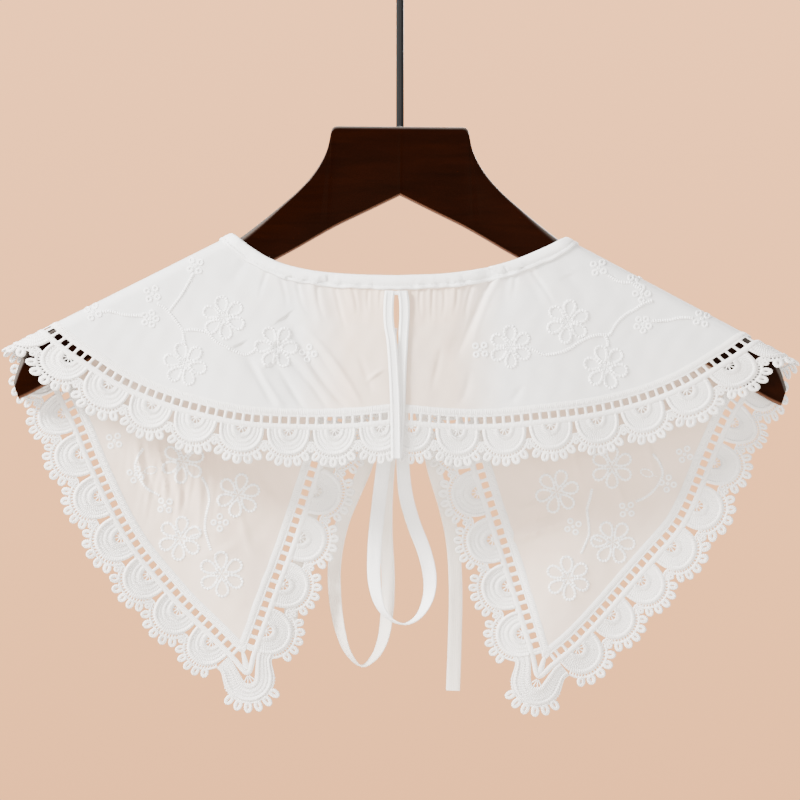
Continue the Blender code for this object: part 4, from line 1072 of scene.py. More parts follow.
def fan_shape(fan, half_pitch, sway):
    """One fan of the lace in its own flat place, with s across and o outwards."""
    scale = ((half_pitch - FAN_GAP) / BODY_RADIUS, (fan.crest - FAN_BASE) / PICOT_REACH)
    angle = np.linspace(-math.pi / 2.0, math.pi / 2.0, 41)
    radii = body_radii()
    flat = superoval(angle[None], radii[:, None], scale)
    turn = (np.arange(len(angle))[None] + np.arange(len(radii))[:, None] // 3) % 2
    height = body_height(radii)[:, None] + STITCH_RELIEF * (1.0 - 2.0 * turn)
    uv = np.stack(np.broadcast_arrays(angle[None] * 8.0, radii[:, None]), -1)
    top = np.concatenate([flat, height[..., None]], -1)
    bottom = np.concatenate([flat, -height[..., None]], -1)
    shapes = [slab(top, bottom, uv)]
    for degrees in (-62.0, -22.0, 22.0, 62.0):
        turned = math.radians(degrees + sway * 2.0)
        ends = [superoval(turned, radius, scale) for radius in (0.9, 3.7)]
        shapes.append(straight(ends[0], ends[1], 0.34, 0.34))
    boss = superoval(np.linspace(-math.pi / 2.0, math.pi / 2.0, 9), 0.75, scale)
    shapes.append(cord_on(boss, 0.75, 0.5))
    arc = superoval(np.linspace(-math.pi / 2.0, math.pi / 2.0, 61), BASE_RADIUS, scale)
    arc = arc[(np.abs(arc[:, 0]) <= half_pitch + 0.1) & (arc[:, 1] > SLIT_END)]
    shapes.append(cord_on(arc, 0.62, 0.55))
    for turned in arc_marks(scale, BASE_RADIUS, 21.0, 1.8, 0.4 * sway):
        ends = [superoval(turned, radius, scale) for radius in (BODY_RADIUS - 0.3, BASE_RADIUS + 0.4)]
        if abs(ends[1][0]) < half_pitch and ends[1][1] > SLIT_END:
            shapes.append(straight(ends[0], ends[1], 0.48, 0.4, steps=1))
    for turned in arc_marks(scale, PICOT_RADIUS, 11.2, fan.crest / 5.15, 0.5 * sway):
        centre = superoval(turned, PICOT_RADIUS, scale)
        out = superoval(turned, PICOT_RADIUS + 1.0, scale) - centre
        ring = oval(centre, 2.05, 1.32, math.atan2(out[1], out[0]), 14)
        shapes.append(cord_on(ring, 1.0, 0.8, closed=True))
    return join(shapes)


def valley_shape(fan):
    """The net between two fans, below the slit that parts them."""
    up = fan.crest / FRONT_FAN.crest
    cap = [(-3.2, 14.6 * up), (-1.6, 13.3 * up), (0.0, 12.9 * up), (1.6, 13.3 * up), (3.2, 14.6 * up)]
    shapes = [cord_on(smooth(cap, 0.8), 0.5, 0.42)]
    shapes.append(straight((0.0, 13.0 * up), (0.0, 16.4 * up), 0.42, 0.36))
    for side in (-1.0, 1.0):
        shapes.append(straight((side * 3.9, 16.2 * up), (0.0, 15.2 * up), 0.42, 0.4))
        shapes.append(straight((side * 3.4, 18.2 * up), (side * 0.4, 16.9 * up), 0.5, 0.42))
    ring = oval((0.0, 17.3 * up), 1.1, 0.9, math.pi / 2.0, 10)
    shapes.append(cord_on(ring, 0.75, 0.65, closed=True))
    return join(shapes)


def trimmed(shape, low, high):
    """The shape without the faces beyond a strip's ends."""
    inside = (shape.points[:, 0] > low) & (shape.points[:, 0] < high)
    faces = shape.faces[inside[shape.faces].all(axis=1)]
    used = np.unique(faces)
    index = np.zeros(len(shape.points), int)
    index[used] = np.arange(len(used))
    return Shape(shape.points[used], index[faces], shape.uv[used])


def placed(shape, along, mirror=1.0):
    points = shape.points.copy()
    points[:, 0] = points[:, 0] * mirror + along
    faces = shape.faces[:, ::-1] if mirror < 0.0 else shape.faces
    return Shape(points, faces, shape.uv)


def strip_shape(fan, start, end, centres, pitch, clear, open_end=True):
    """A lace strip in its own place: satin band, row of bars, border cord and fans."""
    count = int((end - start) / 0.54)
    marks = np.linspace(start, end, count)
    beat = np.where(np.arange(count) % 2 == 0, 1.0, 0.5)
    teeth = BAND_HALF * (0.92 + 0.12 * beat)
    shapes = [cord_on(np.stack([marks, np.full(count, BAND_MIDDLE)], -1), teeth, 0.78 * beat, sides=8)]
    coarse = marks[::2]
    thinner = np.where(np.arange(len(coarse)) % 2 == 0, 1.0, 0.84)
    shapes.append(cord_on(np.stack([coarse, np.full(len(coarse), RAIL_MIDDLE)], -1), 0.62, 0.6 * thinner))
    border = np.stack([coarse, np.full(len(coarse), BORDER_MIDDLE)], -1)
    shapes.append(cord_on(border, 1.7, 0.75 * thinner, sides=8))
    step = pitch / fan.holes
    bar = (step - fan.hole) / 2.0
    first = math.ceil((start + clear - centres[0]) / step)
    place = centres[0] + first * step
    while place < end - 0.5:
        path = np.linspace((place, -2.9), (place, 2.9), 7)
        flare = bar * np.array([1.5, 1.2, 1.0, 0.92, 1.0, 1.2, 1.5])
        shapes.append(cord_on(path, flare, 0.42, sides=6))
        place += step
    for low in (start + 0.45, end - 0.45):
        if low - start < 1.0 and clear > 0.0:
            shapes.append(straight((low, -4.0), (low, 17.0), 0.5, 0.5, steps=12))
    sways = [0.0, 0.7, -0.5, 0.3, -0.8, 0.5, -0.2]
    for k, centre in enumerate(centres):
        shapes.append(placed(fan_shape(fan, pitch / 2.0, sways[k % len(sways)]), centre))
        if open_end or k + 1 < len(centres):
            shapes.append(placed(valley_shape(fan), centre + pitch / 2.0))
    shapes.append(placed(valley_shape(fan), centres[0] - pitch / 2.0))
    return join(shapes)


def hung_lace(name, half, curve, shape, leans, nodes, material, turn=1.0):
    """Lays a strip's shape beside its flat curve and hangs it with the cloth."""
    s, o, h = shape.points.T
    leaning = sum(lean * np.clip(1.0 - np.abs(s - place) / LEAN_LENGTH, 0.0, 1.0) for place, lean in leans)
    flat = beside(curve, s + leaning * o, o, turn)
    flutter = 0.35 * np.clip(o / 26.0, 0.0, 1.0) ** 2 * np.sin(s * 0.31 + 0.8 * np.sin(s * 0.07))
    points = surface(half, flat, h + flutter)
    piece = make_piece(name, Shape(points, shape.faces, shape.uv), material)
    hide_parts(*nodes)
    return piece


def laces(half, material):
    """The lace of one half, strip by strip."""
    neck, hem, inner = flat_lines(half)
    ridge = mark_across(hem, 0.0)
    total = lengths(hem)[-1]
    back_count = round((ridge - FIRST_FAN_FROM_SEAM) / BACK_FAN.pitch)
    back_pitch = (ridge - FIRST_FAN_FROM_SEAM) / back_count
    front_count = round((total - ridge - LAST_FAN_FROM_TIP) / FRONT_FAN.pitch)
    front_pitch = (total - ridge - LAST_FAN_FROM_TIP) / front_count
    at_ridge = (ridge, lean_to(hem, ridge, (1.0, 0.0)))
    start_spot = half.back_hem[0]
    below = Spot(start_spot.x, start_spot.drop + 26.0)
    seam = np.diff(flat_of(half, [start_spot, below]), axis=0)[0]
    at_seam = (0.0, lean_to(hem, 0.0, seam))
    centres = [FIRST_FAN_FROM_SEAM + k * back_pitch for k in range(back_count + 1)]
    shape = trimmed(strip_shape(BACK_FAN, 0.2, ridge, centres, back_pitch, 1.0), 0.0, ridge + 30.0)
    made = [hung_lace(f"edging_back_{half.name}", half, hem, shape, [at_seam, at_ridge],
                      [f"lace_back_{half.name}"], material)]
    centres = [ridge + k * front_pitch for k in range(1, front_count + 1)]
    shape = strip_shape(FRONT_FAN, ridge, total - CORNER_CUT, centres, front_pitch, 0.0, False)
    made.append(hung_lace(f"edging_front_{half.name}", half, hem, shape, [at_ridge],
                          [f"lace_front_{half.name}"], material))
    top = moved(neck, BINDING_HALF + SEAM_GAP)
    top_at, start = crossing(top, inner)
    length = lengths(inner)[-1]
    at_top = (start, lean_to(inner, start, at(top, lengths(top)[-1]) - at(top, top_at), -1.0))
    last = length - LAST_FAN_FROM_TIP + 1.0
    fans = int((last - start) / INNER_FAN.pitch + 0.5)
    centres = [last - k * INNER_FAN.pitch for k in range(fans, -1, -1)]
    shape = strip_shape(INNER_FAN, start, length - CORNER_CUT, centres, INNER_FAN.pitch, 1.0, False)
    shape = trimmed(shape, start - 0.2, length)
    made.append(hung_lace(f"edging_inner_{half.name}", half, inner, shape, [at_top],
                          [f"lace_inner_{half.name}"], material, -1.0))
    made.append(tip_lace(half, hem, inner, material))
    return made


def tip_lace(half, hem, inner, material):
    """The single fan at a front point: cords that run round it from edge to edge."""
    hem_end, inner_end = lengths(hem)[-1] - CORNER_CUT, lengths(inner)[-1] - CORNER_CUT
    corner = hem[-1]
    ways = [hem[-1] - at(hem, hem_end + 2.3), inner[-1] - at(inner, inner_end + 2.3)]
    ways = [way / np.linalg.norm(way) for way in ways]
    out = ways[0] + ways[1]
    out /= np.linalg.norm(out)
    half_angle = math.acos(float(out @ ways[0]))
    square = np.array([-out[1], out[0]])
    side = 1.0 if float((beside(hem, hem_end, 5.0) - corner) @ square) > 0.0 else -1.0
    square = square * side
    eyelet = corner + out * TIP_EYELET

    def u_cord(radius, count=73):
        offset = 5.3 + (radius - 3.4) * 0.78
        rows = [beside(hem, hem_end - 0.5, offset), beside(hem, hem_end + 3.0, offset)]
        for degrees in (78.0, 52.0, 26.0, 0.0, -26.0, -52.0, -78.0):
            turned = math.radians(degrees)
            rows.append(eyelet + radius * (out * math.cos(turned) + square * math.sin(turned)))
        rows += [beside(inner, inner_end + 3.0, offset, -1.0), beside(inner, inner_end - 0.5, offset, -1.0)]
        return resampled(smooth(rows, 1.0), count)

    shapes = []
    radii = body_radii()
    flat = np.array([u_cord(radius) for radius in radii])
    turn = (np.arange(flat.shape[1])[None] + np.arange(len(radii))[:, None] // 3) % 2
    height = body_height(radii)[:, None] + STITCH_RELIEF * (1.0 - 2.0 * turn)
    uv = np.stack(np.broadcast_arrays(np.linspace(0.0, 60.0, flat.shape[1])[None], radii[:, None]), -1)
    top = np.concatenate([flat, height[..., None]], -1)
    bottom = np.concatenate([flat, -height[..., None]], -1)
    shapes.append(slab(top, bottom, uv))
    for offset, wide, high in ((BAND_MIDDLE, BAND_HALF, 0.72), (RAIL_MIDDLE, 0.62, 0.6), (BORDER_MIDDLE, 1.5, 0.75)):
        rows = [beside(hem, hem_end + step, offset) for step in (-0.5, 1.5, 3.5)]
        rows.append(corner + out * offset / math.sin(half_angle))
        rows += [beside(inner, inner_end + step, offset, -1.0) for step in (3.5, 1.5, -0.5)]
        path = smooth(rows, 0.6)
        steady = np.where(np.arange(len(path)) % 2 == 0, 1.0, 0.84)
        shapes.append(cord_on(path, wide, high * steady, sides=8))
    tongue = np.linspace(corner - out * 7.0, corner + out * 4.5, 8)
    shapes.append(cord_on(tongue, np.linspace(0.8, 2.0, 8), 0.5, sides=6))
    for curve, end, turn in ((hem, hem_end, 1.0), (inner, inner_end, -1.0)):
        shapes.append(straight(beside(curve, end + 0.4, -2.9, turn), beside(curve, end + 0.4, 2.9, turn), 1.0, 0.42, 6))
    for degrees in (-58.0, -20.0, 20.0, 58.0):
        turned = math.radians(degrees)
        way = out * math.cos(turned) + square * math.sin(turned)
        shapes.append(straight(eyelet - out * 1.5 + way * 0.5, eyelet + way * 3.8, 0.34, 0.34))
    shapes.append(cord_on(u_cord(14.3), 0.55, 0.5))
    for k in range(6):
        turned = math.radians(20.0 * (k - 2.5) + 4.0)
        way = out * math.cos(turned) + square * math.sin(turned)
        ring = oval(eyelet + way * 16.9, 2.5, 1.4, math.atan2(way[1], way[0]), 16)
        shapes.append(cord_on(ring, 1.05, 0.8, closed=True))
    for k in range(25):
        turned = math.radians(6.5 * (k - 12))
        way = out * math.cos(turned) + square * math.sin(turned)
        shapes.append(straight(eyelet + way * 13.0, eyelet + way * 15.2, 0.4, 0.36, steps=1))
    shape = join(shapes)
    points = surface(half, shape.points[:, :2], shape.points[:, 2])
    piece = make_piece(f"edging_tip_{half.name}", Shape(points, shape.faces, shape.uv), material)
    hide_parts(f"lace_tip_{half.name}")
    return piece


def seen_oval(half, back, centre, long, wide, way, count, fuller=0.0):
    """An oval as it is seen on the hanging cloth, as flat places."""
    return flat_of(half, oval(centre, long, wide, way, count, fuller), back)


def flower_shapes(half, back, flower):
    """A flower with six outlined petals, and stitches that run from them to its middle."""
    centre, reach = np.array([flower.x, flower.drop]), flower.reach
    shapes = []
    for k in range(6):
        way = math.radians(flower.turn + 60.0 * k)
        ahead = np.array([math.cos(way), math.sin(way)])
        square = np.array([-ahead[1], ahead[0]])
        middle = centre + ahead * reach * 0.58
        petal = seen_oval(half, back, middle, reach * 0.36, reach * 0.235, way, 30, 0.34)
        shapes.append(rope(petal, PETAL_STITCH, closed=True))
        for share in (-1.0, 0.0, 1.0):
            ends = flat_of(half, [centre + ahead * 0.6, centre + ahead * reach * 0.27 + square * share * 0.8], back)
            shapes.append(straight(ends[0], ends[1], 0.42, 0.5, 4, 2, 0.1))
    return shapes


def floret_shapes(half, back, floret):
    """A few small eyelet rings round a knot."""
    centre = np.array([floret.x, floret.drop])
    shapes = [cord_on(seen_oval(half, back, centre, 0.6, 0.6, 0.0, 8), 0.6, 0.6, 0.1, 6, True)]
    for k in range(floret.rings):
        way = math.radians(floret.turn + 360.0 * k / floret.rings)
        ahead = np.array([math.cos(way), math.sin(way)])
        ring = seen_oval(half, back, centre + 3.5 * ahead, 1.35, 1.35, 0.0, 12)
        shapes.append(cord_on(ring, 0.72, 0.7, 0.1, 6, True))
        ends = flat_of(half, [centre + 0.4 * ahead, centre + 1.9 * ahead], back)
        shapes.append(straight(ends[0], ends[1], 0.35, 0.4, 4, 1, 0.1))
    return shapes


def leaf_shapes(half, back, spot, way):
    """A small outlined leaf on a short stalk."""
    centre = np.array([spot.x, spot.drop])
    ahead = np.array([math.cos(way), math.sin(way)])
    stalk = flat_of(half, [centre - ahead * 6.6, centre - ahead * 3.4], back)
    return [rope(seen_oval(half, back, centre, 3.6, 2.0, way, 22), 0.6, closed=True),
            straight(stalk[0], stalk[1], 0.45, 0.45, 4, 3, 0.1)]


def embroidery(half, material):
    """All the embroidery of one half, worked into its cloth."""
    side = -1.0 if half.name == "left" else 1.0
    shapes = []
    layout = [(True, BACK_FLOWERS, BACK_FLORETS, BACK_VINES), (False, FRONT_FLOWERS, FRONT_FLORETS, FRONT_VINES)]
    for back, flowers, florets, vines in layout:
        for flower in flowers:
            if flower.x * side > 0.0:
                shapes += flower_shapes(half, back, flower)
        for floret in florets:
            if floret.x * side > 0.0:
                shapes += floret_shapes(half, back, floret)
        for vine in vines:
            if vine[0][0] * side > 0.0:
                shapes.append(rope(smooth(flat_of(half, vine, back), 0.7), VINE_STITCH))
    for spot, way in LEAVES:
        if spot.x * side > 0.0:
            shapes += leaf_shapes(half, False, spot, math.radians(way))
    shape = join(shapes)
    flat = shape.points[:, :2]
    points = surface(half, flat, shape.points[:, 2] + crease_height(half, flat))
    return make_piece(f"embroidery_{half.name}", Shape(points, shape.faces, shape.uv), material)


def stitch_row(half, path, lift, pitch=2.3, length=1.5):
    """Small stitches along a flat path, lying at a lift over the cloth."""
    marks = np.arange(1.2, lengths(path)[-1] - length, pitch)
    shapes = []
    for mark in marks:
        line = at(path, np.linspace(mark, mark + length, 4))
        shapes.append(cord_on(line, STITCH_WIDTH * np.array([0.6, 1.0, 1.0, 0.6]), 0.36, 0.0, 6))
    shape = join(shapes)
    heights = lift(shape.points[:, :2]) if callable(lift) else lift
    points = surface(half, shape.points[:, :2], shape.points[:, 2] + heights)
    return Shape(points, shape.faces, shape.uv)


def neck_binding(material, thread):
    """The folded band round the neck, with its line of stitches."""
    profile = [(-4.0, -0.5), (-4.15, 0.2), (-3.6, 1.0), (-2.6, 1.4), (-0.6, 1.45), (1.2, 1.35),
               (1.9, 0.8), (2.6, 1.5), (3.6, 1.35), (4.1, 0.4), (4.0, -0.5), (0.0, -0.55)]
    sides = []
    stitches = []
    for half in (LEFT, RIGHT):
        neck = flat_lines(half)[0]
        total = lengths(neck)[-1]
        ridge = mark_across(neck, 0.0)
        marks = np.concatenate([np.linspace(0.0, ridge, 110, endpoint=False), np.linspace(ridge, total, 90)])
        pucker = 1.0 + 0.05 * np.sin(marks * 1.35) * np.sin(marks * 0.37 + 1.0)
        rings = []
        for offset, lift in profile:
            edge = 0.22 * np.sin(marks * 0.23) + 0.16 * np.sin(marks * 0.57 + 2.0) if offset > 2.5 else 0.0 * marks
            flat = beside(neck, marks, offset + edge)
            rings.append(surface(half, flat, lift * pucker))
        sides.append(np.stack(rings, 1))
        stitches.append(stitch_row(half, moved(neck, 1.9), 0.98))
    left, right = sides
    middle = (left[:1] + right[:1]) / 2.0
    shape = sweep(np.concatenate([left[:0:-1], middle, right[1:]]), 18.0)
    piece = make_piece("binding", shape, material)
    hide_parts("neck_binding")
    return [piece, make_piece("binding_stitches", join(stitches), thread)]


def placket(name, half, strip, nodes, material, thread):
    """A stitched strip over the edge of the slit, with two rows of stitches."""
    rows = smooth(strip, 1.5)
    shares = np.array([-0.5, -0.49, -0.40, -0.2, 0.0, 0.2, 0.40, 0.49, 0.5])
    crown = np.array([0.15, 0.6, 0.95, 0.72, 0.82, 0.72, 0.95, 0.6, 0.15])
    grids = []
    for share, rise in zip(shares, crown):
        spots = [(x + PLACKET_WIDTH * share, drop) for x, drop, _ in rows]
        grids.append(surface(half, flat_of(half, spots), rows[:, 2] + rise * 1.1))
    under = []
    for share in shares[::-1][1:-1]:
        spots = [(x + PLACKET_WIDTH * share, drop) for x, drop, _ in rows]
        under.append(surface(half, flat_of(half, spots), rows[:, 2] - 0.05))
    shape = sweep(np.stack(grids + under, 1), 12.0)
    piece = make_piece(name, shape, material)
    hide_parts(*nodes)
    drops, lifts = rows[:, 1], rows[:, 2]
    shapes = []
    for share in (-0.31, 0.31):
        spots = [(x + PLACKET_WIDTH * share, drop) for x, drop, _ in rows]
        path = flat_of(half, spots)

        def lift(flat):
            drop = plain_fold(half, flat[:, 0], flat[:, 1])[1]
            return np.interp(drop, drops, lifts) + 1.0

        shapes.append(stitch_row(half, path, lift, 1.9, 1.3))
    if half.name == "left":
        for drop in (94.1, 94.8, 95.5):
            ends = flat_of(half, [(-3.7, drop), (-0.9, drop + 0.1)])
            bar = straight(ends[0], ends[1], 0.42, 0.42, 6, 3, 1.5)
            shapes.append(Shape(surface(half, bar.points[:, :2], bar.points[:, 2]), bar.faces, bar.uv))
    return [piece, make_piece(f"{name}_stitches", join(shapes), thread)]


def tape_rows(rows, step=2.4):
    """A tape's middle line, its width direction and its thickness direction."""
    rows = smooth(rows, step, place=3)
    middle = np.stack([rows[:, 0], rows[:, 2], -WOOD_BELOW_SEAT - rows[:, 1]], -1)
    ways = np.gradient(middle, axis=0)
    ways /= np.linalg.norm(ways, axis=1, keepdims=True)
    plane = np.cross((0.0, 1.0, 0.0), ways)
    plane /= np.linalg.norm(plane, axis=1, keepdims=True)
    angle = np.radians(rows[:, 3])[:, None]
    wide = plane * np.cos(angle) + np.array([0.0, 1.0, 0.0]) * np.sin(angle)
    wide -= ways * np.sum(wide * ways, -1, keepdims=True)
    wide /= np.linalg.norm(wide, axis=1, keepdims=True)
    return middle, wide, np.cross(ways, wide), rows[:, 4]


def tape(name, rows, material):
    """A folded tape: two soft rolled edges, one of them stitched down."""
    middle, wide, thick, width = tape_rows(rows)
    profile = [(-1.0, -0.1), (-0.97, 0.35), (-0.86, 0.5), (-0.6, 0.34), (0.0, 0.28), (0.55, 0.34), (0.74, 0.3),
               (0.88, 0.5), (0.98, 0.32), (1.0, -0.1), (0.9, -0.4), (0.4, -0.3), (-0.4, -0.3), (-0.9, -0.4)]
    run = lengths(middle, 3)
    wander = 0.12 * np.sin(run * 0.19) + 0.08 * np.sin(run * 0.47 + 1.0)
    pinch = np.clip((1.0 - width) / (1.0 - TAPE_AT_KNOT), 0.0, 1.0)
    rings = []
    for across, high in profile:
        pleat = 0.6 * pinch * math.cos(across * 7.0)
        level = high * TAPE_WALL + wander * (1.0 - across**2) + pleat
        rings.append(middle + wide * (across * TAPE_WIDTH / 2.0 * width)[:, None] + thick * level[:, None])
    piece = make_piece(name, sweep(np.stack(rings, 1), 18.0), material)
    return piece, middle * MM


def bow_knot(material):
    """The bow's knot: a wrapped, creased lump of tape."""
    columns, rows = 40, 24
    around = np.arange(columns) * math.tau / columns
    up = np.linspace(-0.5, 0.5, rows) * math.pi * 0.97
    around, up = np.meshgrid(around, up, indexing="xy")
    wrap = np.cos(up * 5.0 + 0.8 * np.sin(around)) * 0.06
    wrap += 0.05 * np.cos(3.0 * around + up * 2.0) * np.cos(up)
    size = 1.0 + wrap
    x = 6.4 * np.cos(up) ** 0.75 * np.cos(around) * size
    y = 5.3 * np.cos(up) ** 0.75 * np.sin(around) * size
    z = 6.0 * np.sin(up) * (1.0 + 0.06 * np.cos(2.0 * around))
    rings = np.stack([KNOT.x + x + 0.9 * np.sin(up), KNOT.y + y, z - WOOD_BELOW_SEAT - KNOT.drop], -1)
    piece = make_piece("bow_middle", sweep(rings, 20.0), material)
    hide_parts("bow_knot")
    return piece


def ties(material, thin_and_shaded):
    """The bow: two short ties from the neck, the knot, two loops and two free ends."""
    pieces = {}
    rows = {
        "neck_tie_left": (TIE_LEFT, "tie_left"),
        "neck_tie_right": (TIE_RIGHT, "tie_right"),
        "loop_near": (LOOP_NEAR, "bow_loop_near"),
        "loop_far": (LOOP_FAR, "bow_loop_far"),
        "free_end_left": (END_LEFT, "tie_end_left"),
        "free_end_right": (END_RIGHT, "tie_end_right"),
    }
    knot = bow_knot(material)
    for name, (table, replaced) in rows.items():
        # Painted shade: the far loop and both free ends are the same tape as the rest, given a darker, warmer copy of
        # its material.
        seen_thin_and_shaded = name in ("loop_far", "free_end_left", "free_end_right")
        piece, path = tape(name, table, thin_and_shaded if seen_thin_and_shaded else material)
        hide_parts(replaced)
        pieces[name] = (piece, path)
    for name in ("loop_near", "loop_far", "free_end_left", "free_end_right"):
        piece, path = pieces[name]


def wood_ring(top, under, rounding, groove):
    """A cross-section of the arm with rounded edges, from its top point to its under point."""
    down = under - top
    height = np.linalg.norm(down)
    down = down / height
    low_round = min(rounding, 2.4)
    quarter = math.pi / 2.0
    ring = []
    corners = [(0.0, 1.0, rounding), (height, 1.0, low_round), (height, -1.0, low_round), (0.0, -1.0, rounding)]
    for level, side, radius in corners:
        inwards = 1.0 if level == 0.0 else -1.0
        arc = list(np.linspace(0.0, quarter, EDGE_STEPS))
        if (level == 0.0) != (side > 0.0):
            arc.reverse()
        for angle in arc:
            along = level + inwards * radius * (1.0 - math.cos(angle))
            deep = side * (WOOD_HALF - groove - radius * (1.0 - math.sin(angle)))
            place = top + down * along
            ring.append((place[0], deep, -WOOD_BELOW_SEAT - place[1]))
    return ring


def hanger_half(half, material):
    """One half of the wooden hanger, with its rows drawn into smooth curves."""
    side = -1.0 if half.name == "left" else 1.0
    start, ahead, square = ridge_frame(half)
    rows = []
    for row in WOOD_ROWS:
        top_x, under_x = side * row.top_x, side * row.under_x
        tilt = WOOD_TILT * top_x
        if row.top_drop is None:
            top = start + ahead * (top_x - start[0]) / ahead[0] + square * ARM_SEAT
        else:
            top = (top_x, row.top_drop + tilt)
        rows.append((*top, under_x, row.under_drop + tilt, row.rounding))
    rows = smooth(rows, 3.0, place=4)
    near = rows[0] + 0.25 * (rows[1] - rows[0])
    rings = [wood_ring(rows[0, :2], rows[0, 2:4], rows[0, 4], JOINT_GROOVE)]
    rings += [wood_ring(row[:2], row[2:4], row[4], 0.0) for row in (near, *rows[1:])]
    shape = sweep(rings, 60.0)
    piece = make_piece(f"arm_{half.name}", shape, material, 35.0)
    plain = [0.0] * EDGE_STEPS
    # Painted light on the edges: a painted sheen along the top edges, stronger where the top runs steep, and a painted
    # highlight along the lower edges.
    tops = np.array([ring[0] for ring in rings])
    steep = np.abs(np.gradient(tops[:, 2])) > 1.1 * np.abs(np.gradient(tops[:, 0]))
    painted_top_sheen = [STEEP_TOP_EDGE_SHEEN if here else TOP_EDGE_SHEEN for here in steep]
    around = {"painted_under_highlight": [plain + UNDER_EDGE_HIGHLIGHT + UNDER_EDGE_HIGHLIGHT[::-1] + plain] * len(rings),
              "painted_top_sheen": [edge + plain + plain + edge[::-1] for edge in painted_top_sheen]}
    for kind, values in around.items():
        layer = piece.data.attributes.new(kind, "FLOAT", "POINT")
        layer.data.foreach_set("value", np.array(values, np.float32).ravel())
    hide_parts(f"hanger_{half.name}")
    return piece


def hook(material):
    """The wire hook, a straight stem and a round bend over the rail."""
    radius = HOOK_INSIDE + WIRE_RADIUS
    foot = -WOOD_BELOW_SEAT + SEAM_GAP
    bend_start = -WOOD_BELOW_SEAT + HOOK_STRAIGHT
    centre = -HOOK_INSIDE
    path = [(0.0, foot), (0.0, foot + 2.0), (0.0, foot + HOOK_STRAIGHT * 0.5)]
    for k in range(28):
        t = k / 28.0
        swing = t * t * (3.0 - 2.0 * t)
        path.append((radius * swing, bend_start + (centre - bend_start) * t))
    for k in range(73):
        angle = HOOK_SWEEP * k / 72.0
        path.append((radius * math.cos(angle), centre + radius * math.sin(angle)))
    path = np.array(path)
    ways = np.gradient(path, axis=0)
    ways /= np.linalg.norm(ways, axis=1, keepdims=True)
    end = path[-1] + ways[-1] * 0.9
    path = np.vstack([path, end])
    ways = np.vstack([ways, ways[-1]])
    thick = np.full(len(path), WIRE_RADIUS)
    thick[-1] = WIRE_RADIUS * 0.6
    around = np.arange(20) * math.tau / 20.0
    aside = thick[:, None] * np.cos(around)
    x = path[:, :1] - ways[:, 1:] * aside
    z = path[:, 1:] + ways[:, :1] * aside
    rings = np.stack([x, thick[:, None] * np.sin(around) + np.zeros_like(x), z], -1)
    piece = make_piece("wire_hook", sweep(rings, 14.0), material, 60.0)
    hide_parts("hook")
    return piece


def backdrop():
    """A warm backdrop behind, with painted light falloff that makes it darker towards the bottom, which doesn't tint
    the light.
    """
    world = bpy.data.worlds.new("studio")
    bpy.context.scene.world = world
    world.use_nodes = True
    tree = world.node_tree
    tree.nodes.clear()
    output = node(tree, "ShaderNodeOutputWorld")
    seen = node(tree, "ShaderNodeBackground")
    light = node(tree, "ShaderNodeBackground")
    light.inputs["Color"].default_value = (1.0, 0.94, 0.89, 1.0)
    light.inputs["Strength"].default_value = 1.3
    seen.inputs["Strength"].default_value = 1.0
    place = node(tree, "ShaderNodeTexCoord")
    split = node(tree, "ShaderNodeSeparateXYZ")
    tree.links.new(place.outputs["Generated"], split.inputs[0])
    level = node(tree, "ShaderNodeMapRange")
    level.inputs["From Min"].default_value = -0.1
    level.inputs["From Max"].default_value = 0.1
    tree.links.new(split.outputs["Z"], level.inputs["Value"])
    # Painted light falloff: the backdrop that the camera sees is darker towards the bottom.
    tone = node(tree, "ShaderNodeMix", data_type="RGBA")
    tone.inputs["A"].default_value = (2.02, 0.92, 0.4, 1.0)
    tone.inputs["B"].default_value = (2.6, 1.24, 0.57, 1.0)
    tree.links.new(level.outputs["Result"], tone.inputs["Factor"])
    tree.links.new(tone.outputs["Result"], seen.inputs["Color"])
    rays = node(tree, "ShaderNodeLightPath")
    pick = node(tree, "ShaderNodeMixShader")
    tree.links.new(rays.outputs["Is Camera Ray"], pick.inputs[0])
    tree.links.new(light.outputs[0], pick.inputs[1])
    tree.links.new(seen.outputs[0], pick.inputs[2])
    tree.links.new(pick.outputs[0], output.inputs["Surface"])


def area_light(name, place, target, size, power, colour=(1.0, 1.0, 1.0)):
    light = bpy.data.lights.new(name, "AREA")
    light.shape = "RECTANGLE"
    light.size, light.size_y = size
    light.energy = power
    light.color = colour
    lamp = bpy.data.objects.new(name, light)
    bpy.context.scene.collection.objects.link(lamp)
    lamp.location = place
    way = np.array(target) - np.array(place)
    lamp.rotation_mode = "QUATERNION"
    lamp.rotation_quaternion = Vector(way).to_track_quat("-Z", "Y")


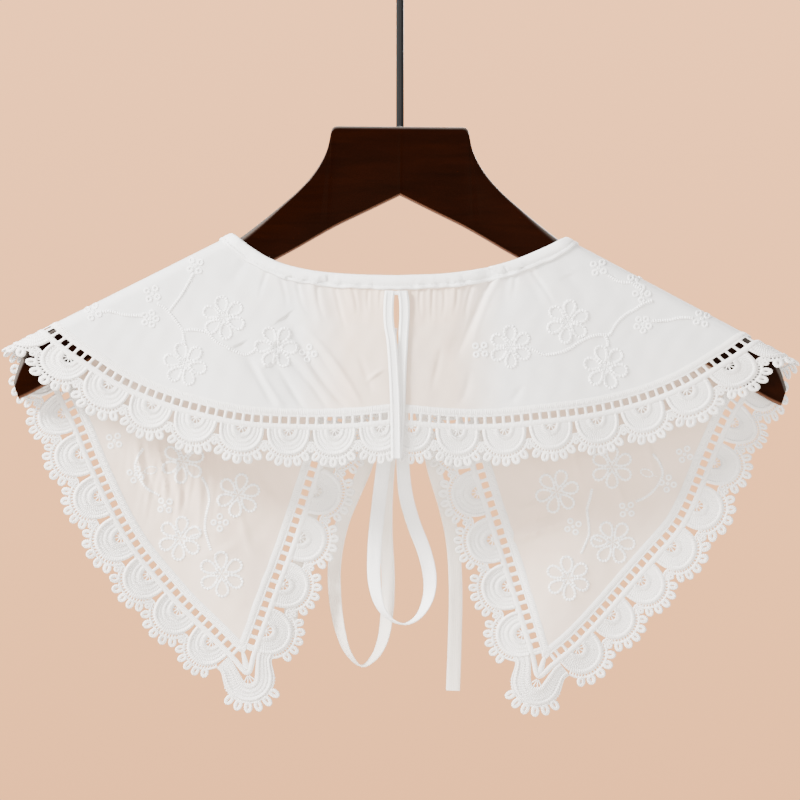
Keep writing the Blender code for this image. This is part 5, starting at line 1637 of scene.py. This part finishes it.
def studio():
    """Camera, soft lights, the pale floor and the backdrop."""
    camera = bpy.data.cameras.new("camera")
    camera.sensor_width = SENSOR_WIDTH
    camera.lens = SENSOR_WIDTH * CAMERA_AWAY / FRAME_WIDTH
    holder = bpy.data.objects.new("camera", camera)
    holder.location = (0.0, -CAMERA_AWAY, CAMERA_HEIGHT)
    holder.rotation_euler = (math.pi / 2.0, 0.0, 0.0)
    bpy.context.scene.collection.objects.link(holder)
    bpy.context.scene.camera = holder
    aim = (0.0, 0.0, -0.27)
    area_light("key", (-1.5, -0.8, 0.7), aim, (0.5, 0.5), 195.0, (1.0, 0.99, 0.975))
    area_light("fill", (0.7, -2.0, -0.5), aim, (1.6, 1.6), 44.0)
    area_light("back", (0.3, 1.5, 0.5), aim, (1.4, 1.0), 70.0)
    floor_mesh = bpy.data.meshes.new("floor")
    wide, level = 3.0, -1.0
    corners = [(-wide, -wide, level), (wide, -wide, level), (wide, wide, level), (-wide, wide, level)]
    floor_mesh.from_pydata(corners, [], [(0, 1, 2, 3)])
    floor_mesh.materials.append(floor_material())
    floor = bpy.data.objects.new("floor", floor_mesh)
    bpy.context.scene.collection.objects.link(floor)
    backdrop()


def main():
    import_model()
    studio()
    cotton = cotton_material()
    lace_thread = thread_material("lace_thread", 0.8, (0.818, 0.793, 0.763))
    fine_thread = thread_material("embroidery_thread", 0.6, (0.93, 0.925, 0.915))
    tape_cotton = tape_material("tape_cotton", (0.87, 0.865, 0.855))
    # The thin tape copy has painted shade in its darker, warmer colour; its lower alpha really lets light through.
    ties(tape_cotton, tape_material("thin_shaded_tape", (0.84, 0.79, 0.72), 0.72))
    wood = wood_material()
    for half in (LEFT, RIGHT):
        hanger_half(half, wood)
    hook(wire_material())
    trims = {"left": [], "right": []}
    for half in (LEFT, RIGHT):
        panel(half, cotton)
        trims[half.name] += laces(half, lace_thread)
        trims[half.name].append(embroidery(half, fine_thread))
    trims["left"] += neck_binding(tape_cotton, fine_thread)
    trims["left"] += placket("strip_left", LEFT, PLACKET_LEFT, ["placket_left"], tape_cotton, fine_thread)
    trims["right"] += placket("strip_right", RIGHT, PLACKET_RIGHT, ["placket_right"], tape_cotton, fine_thread)


main()
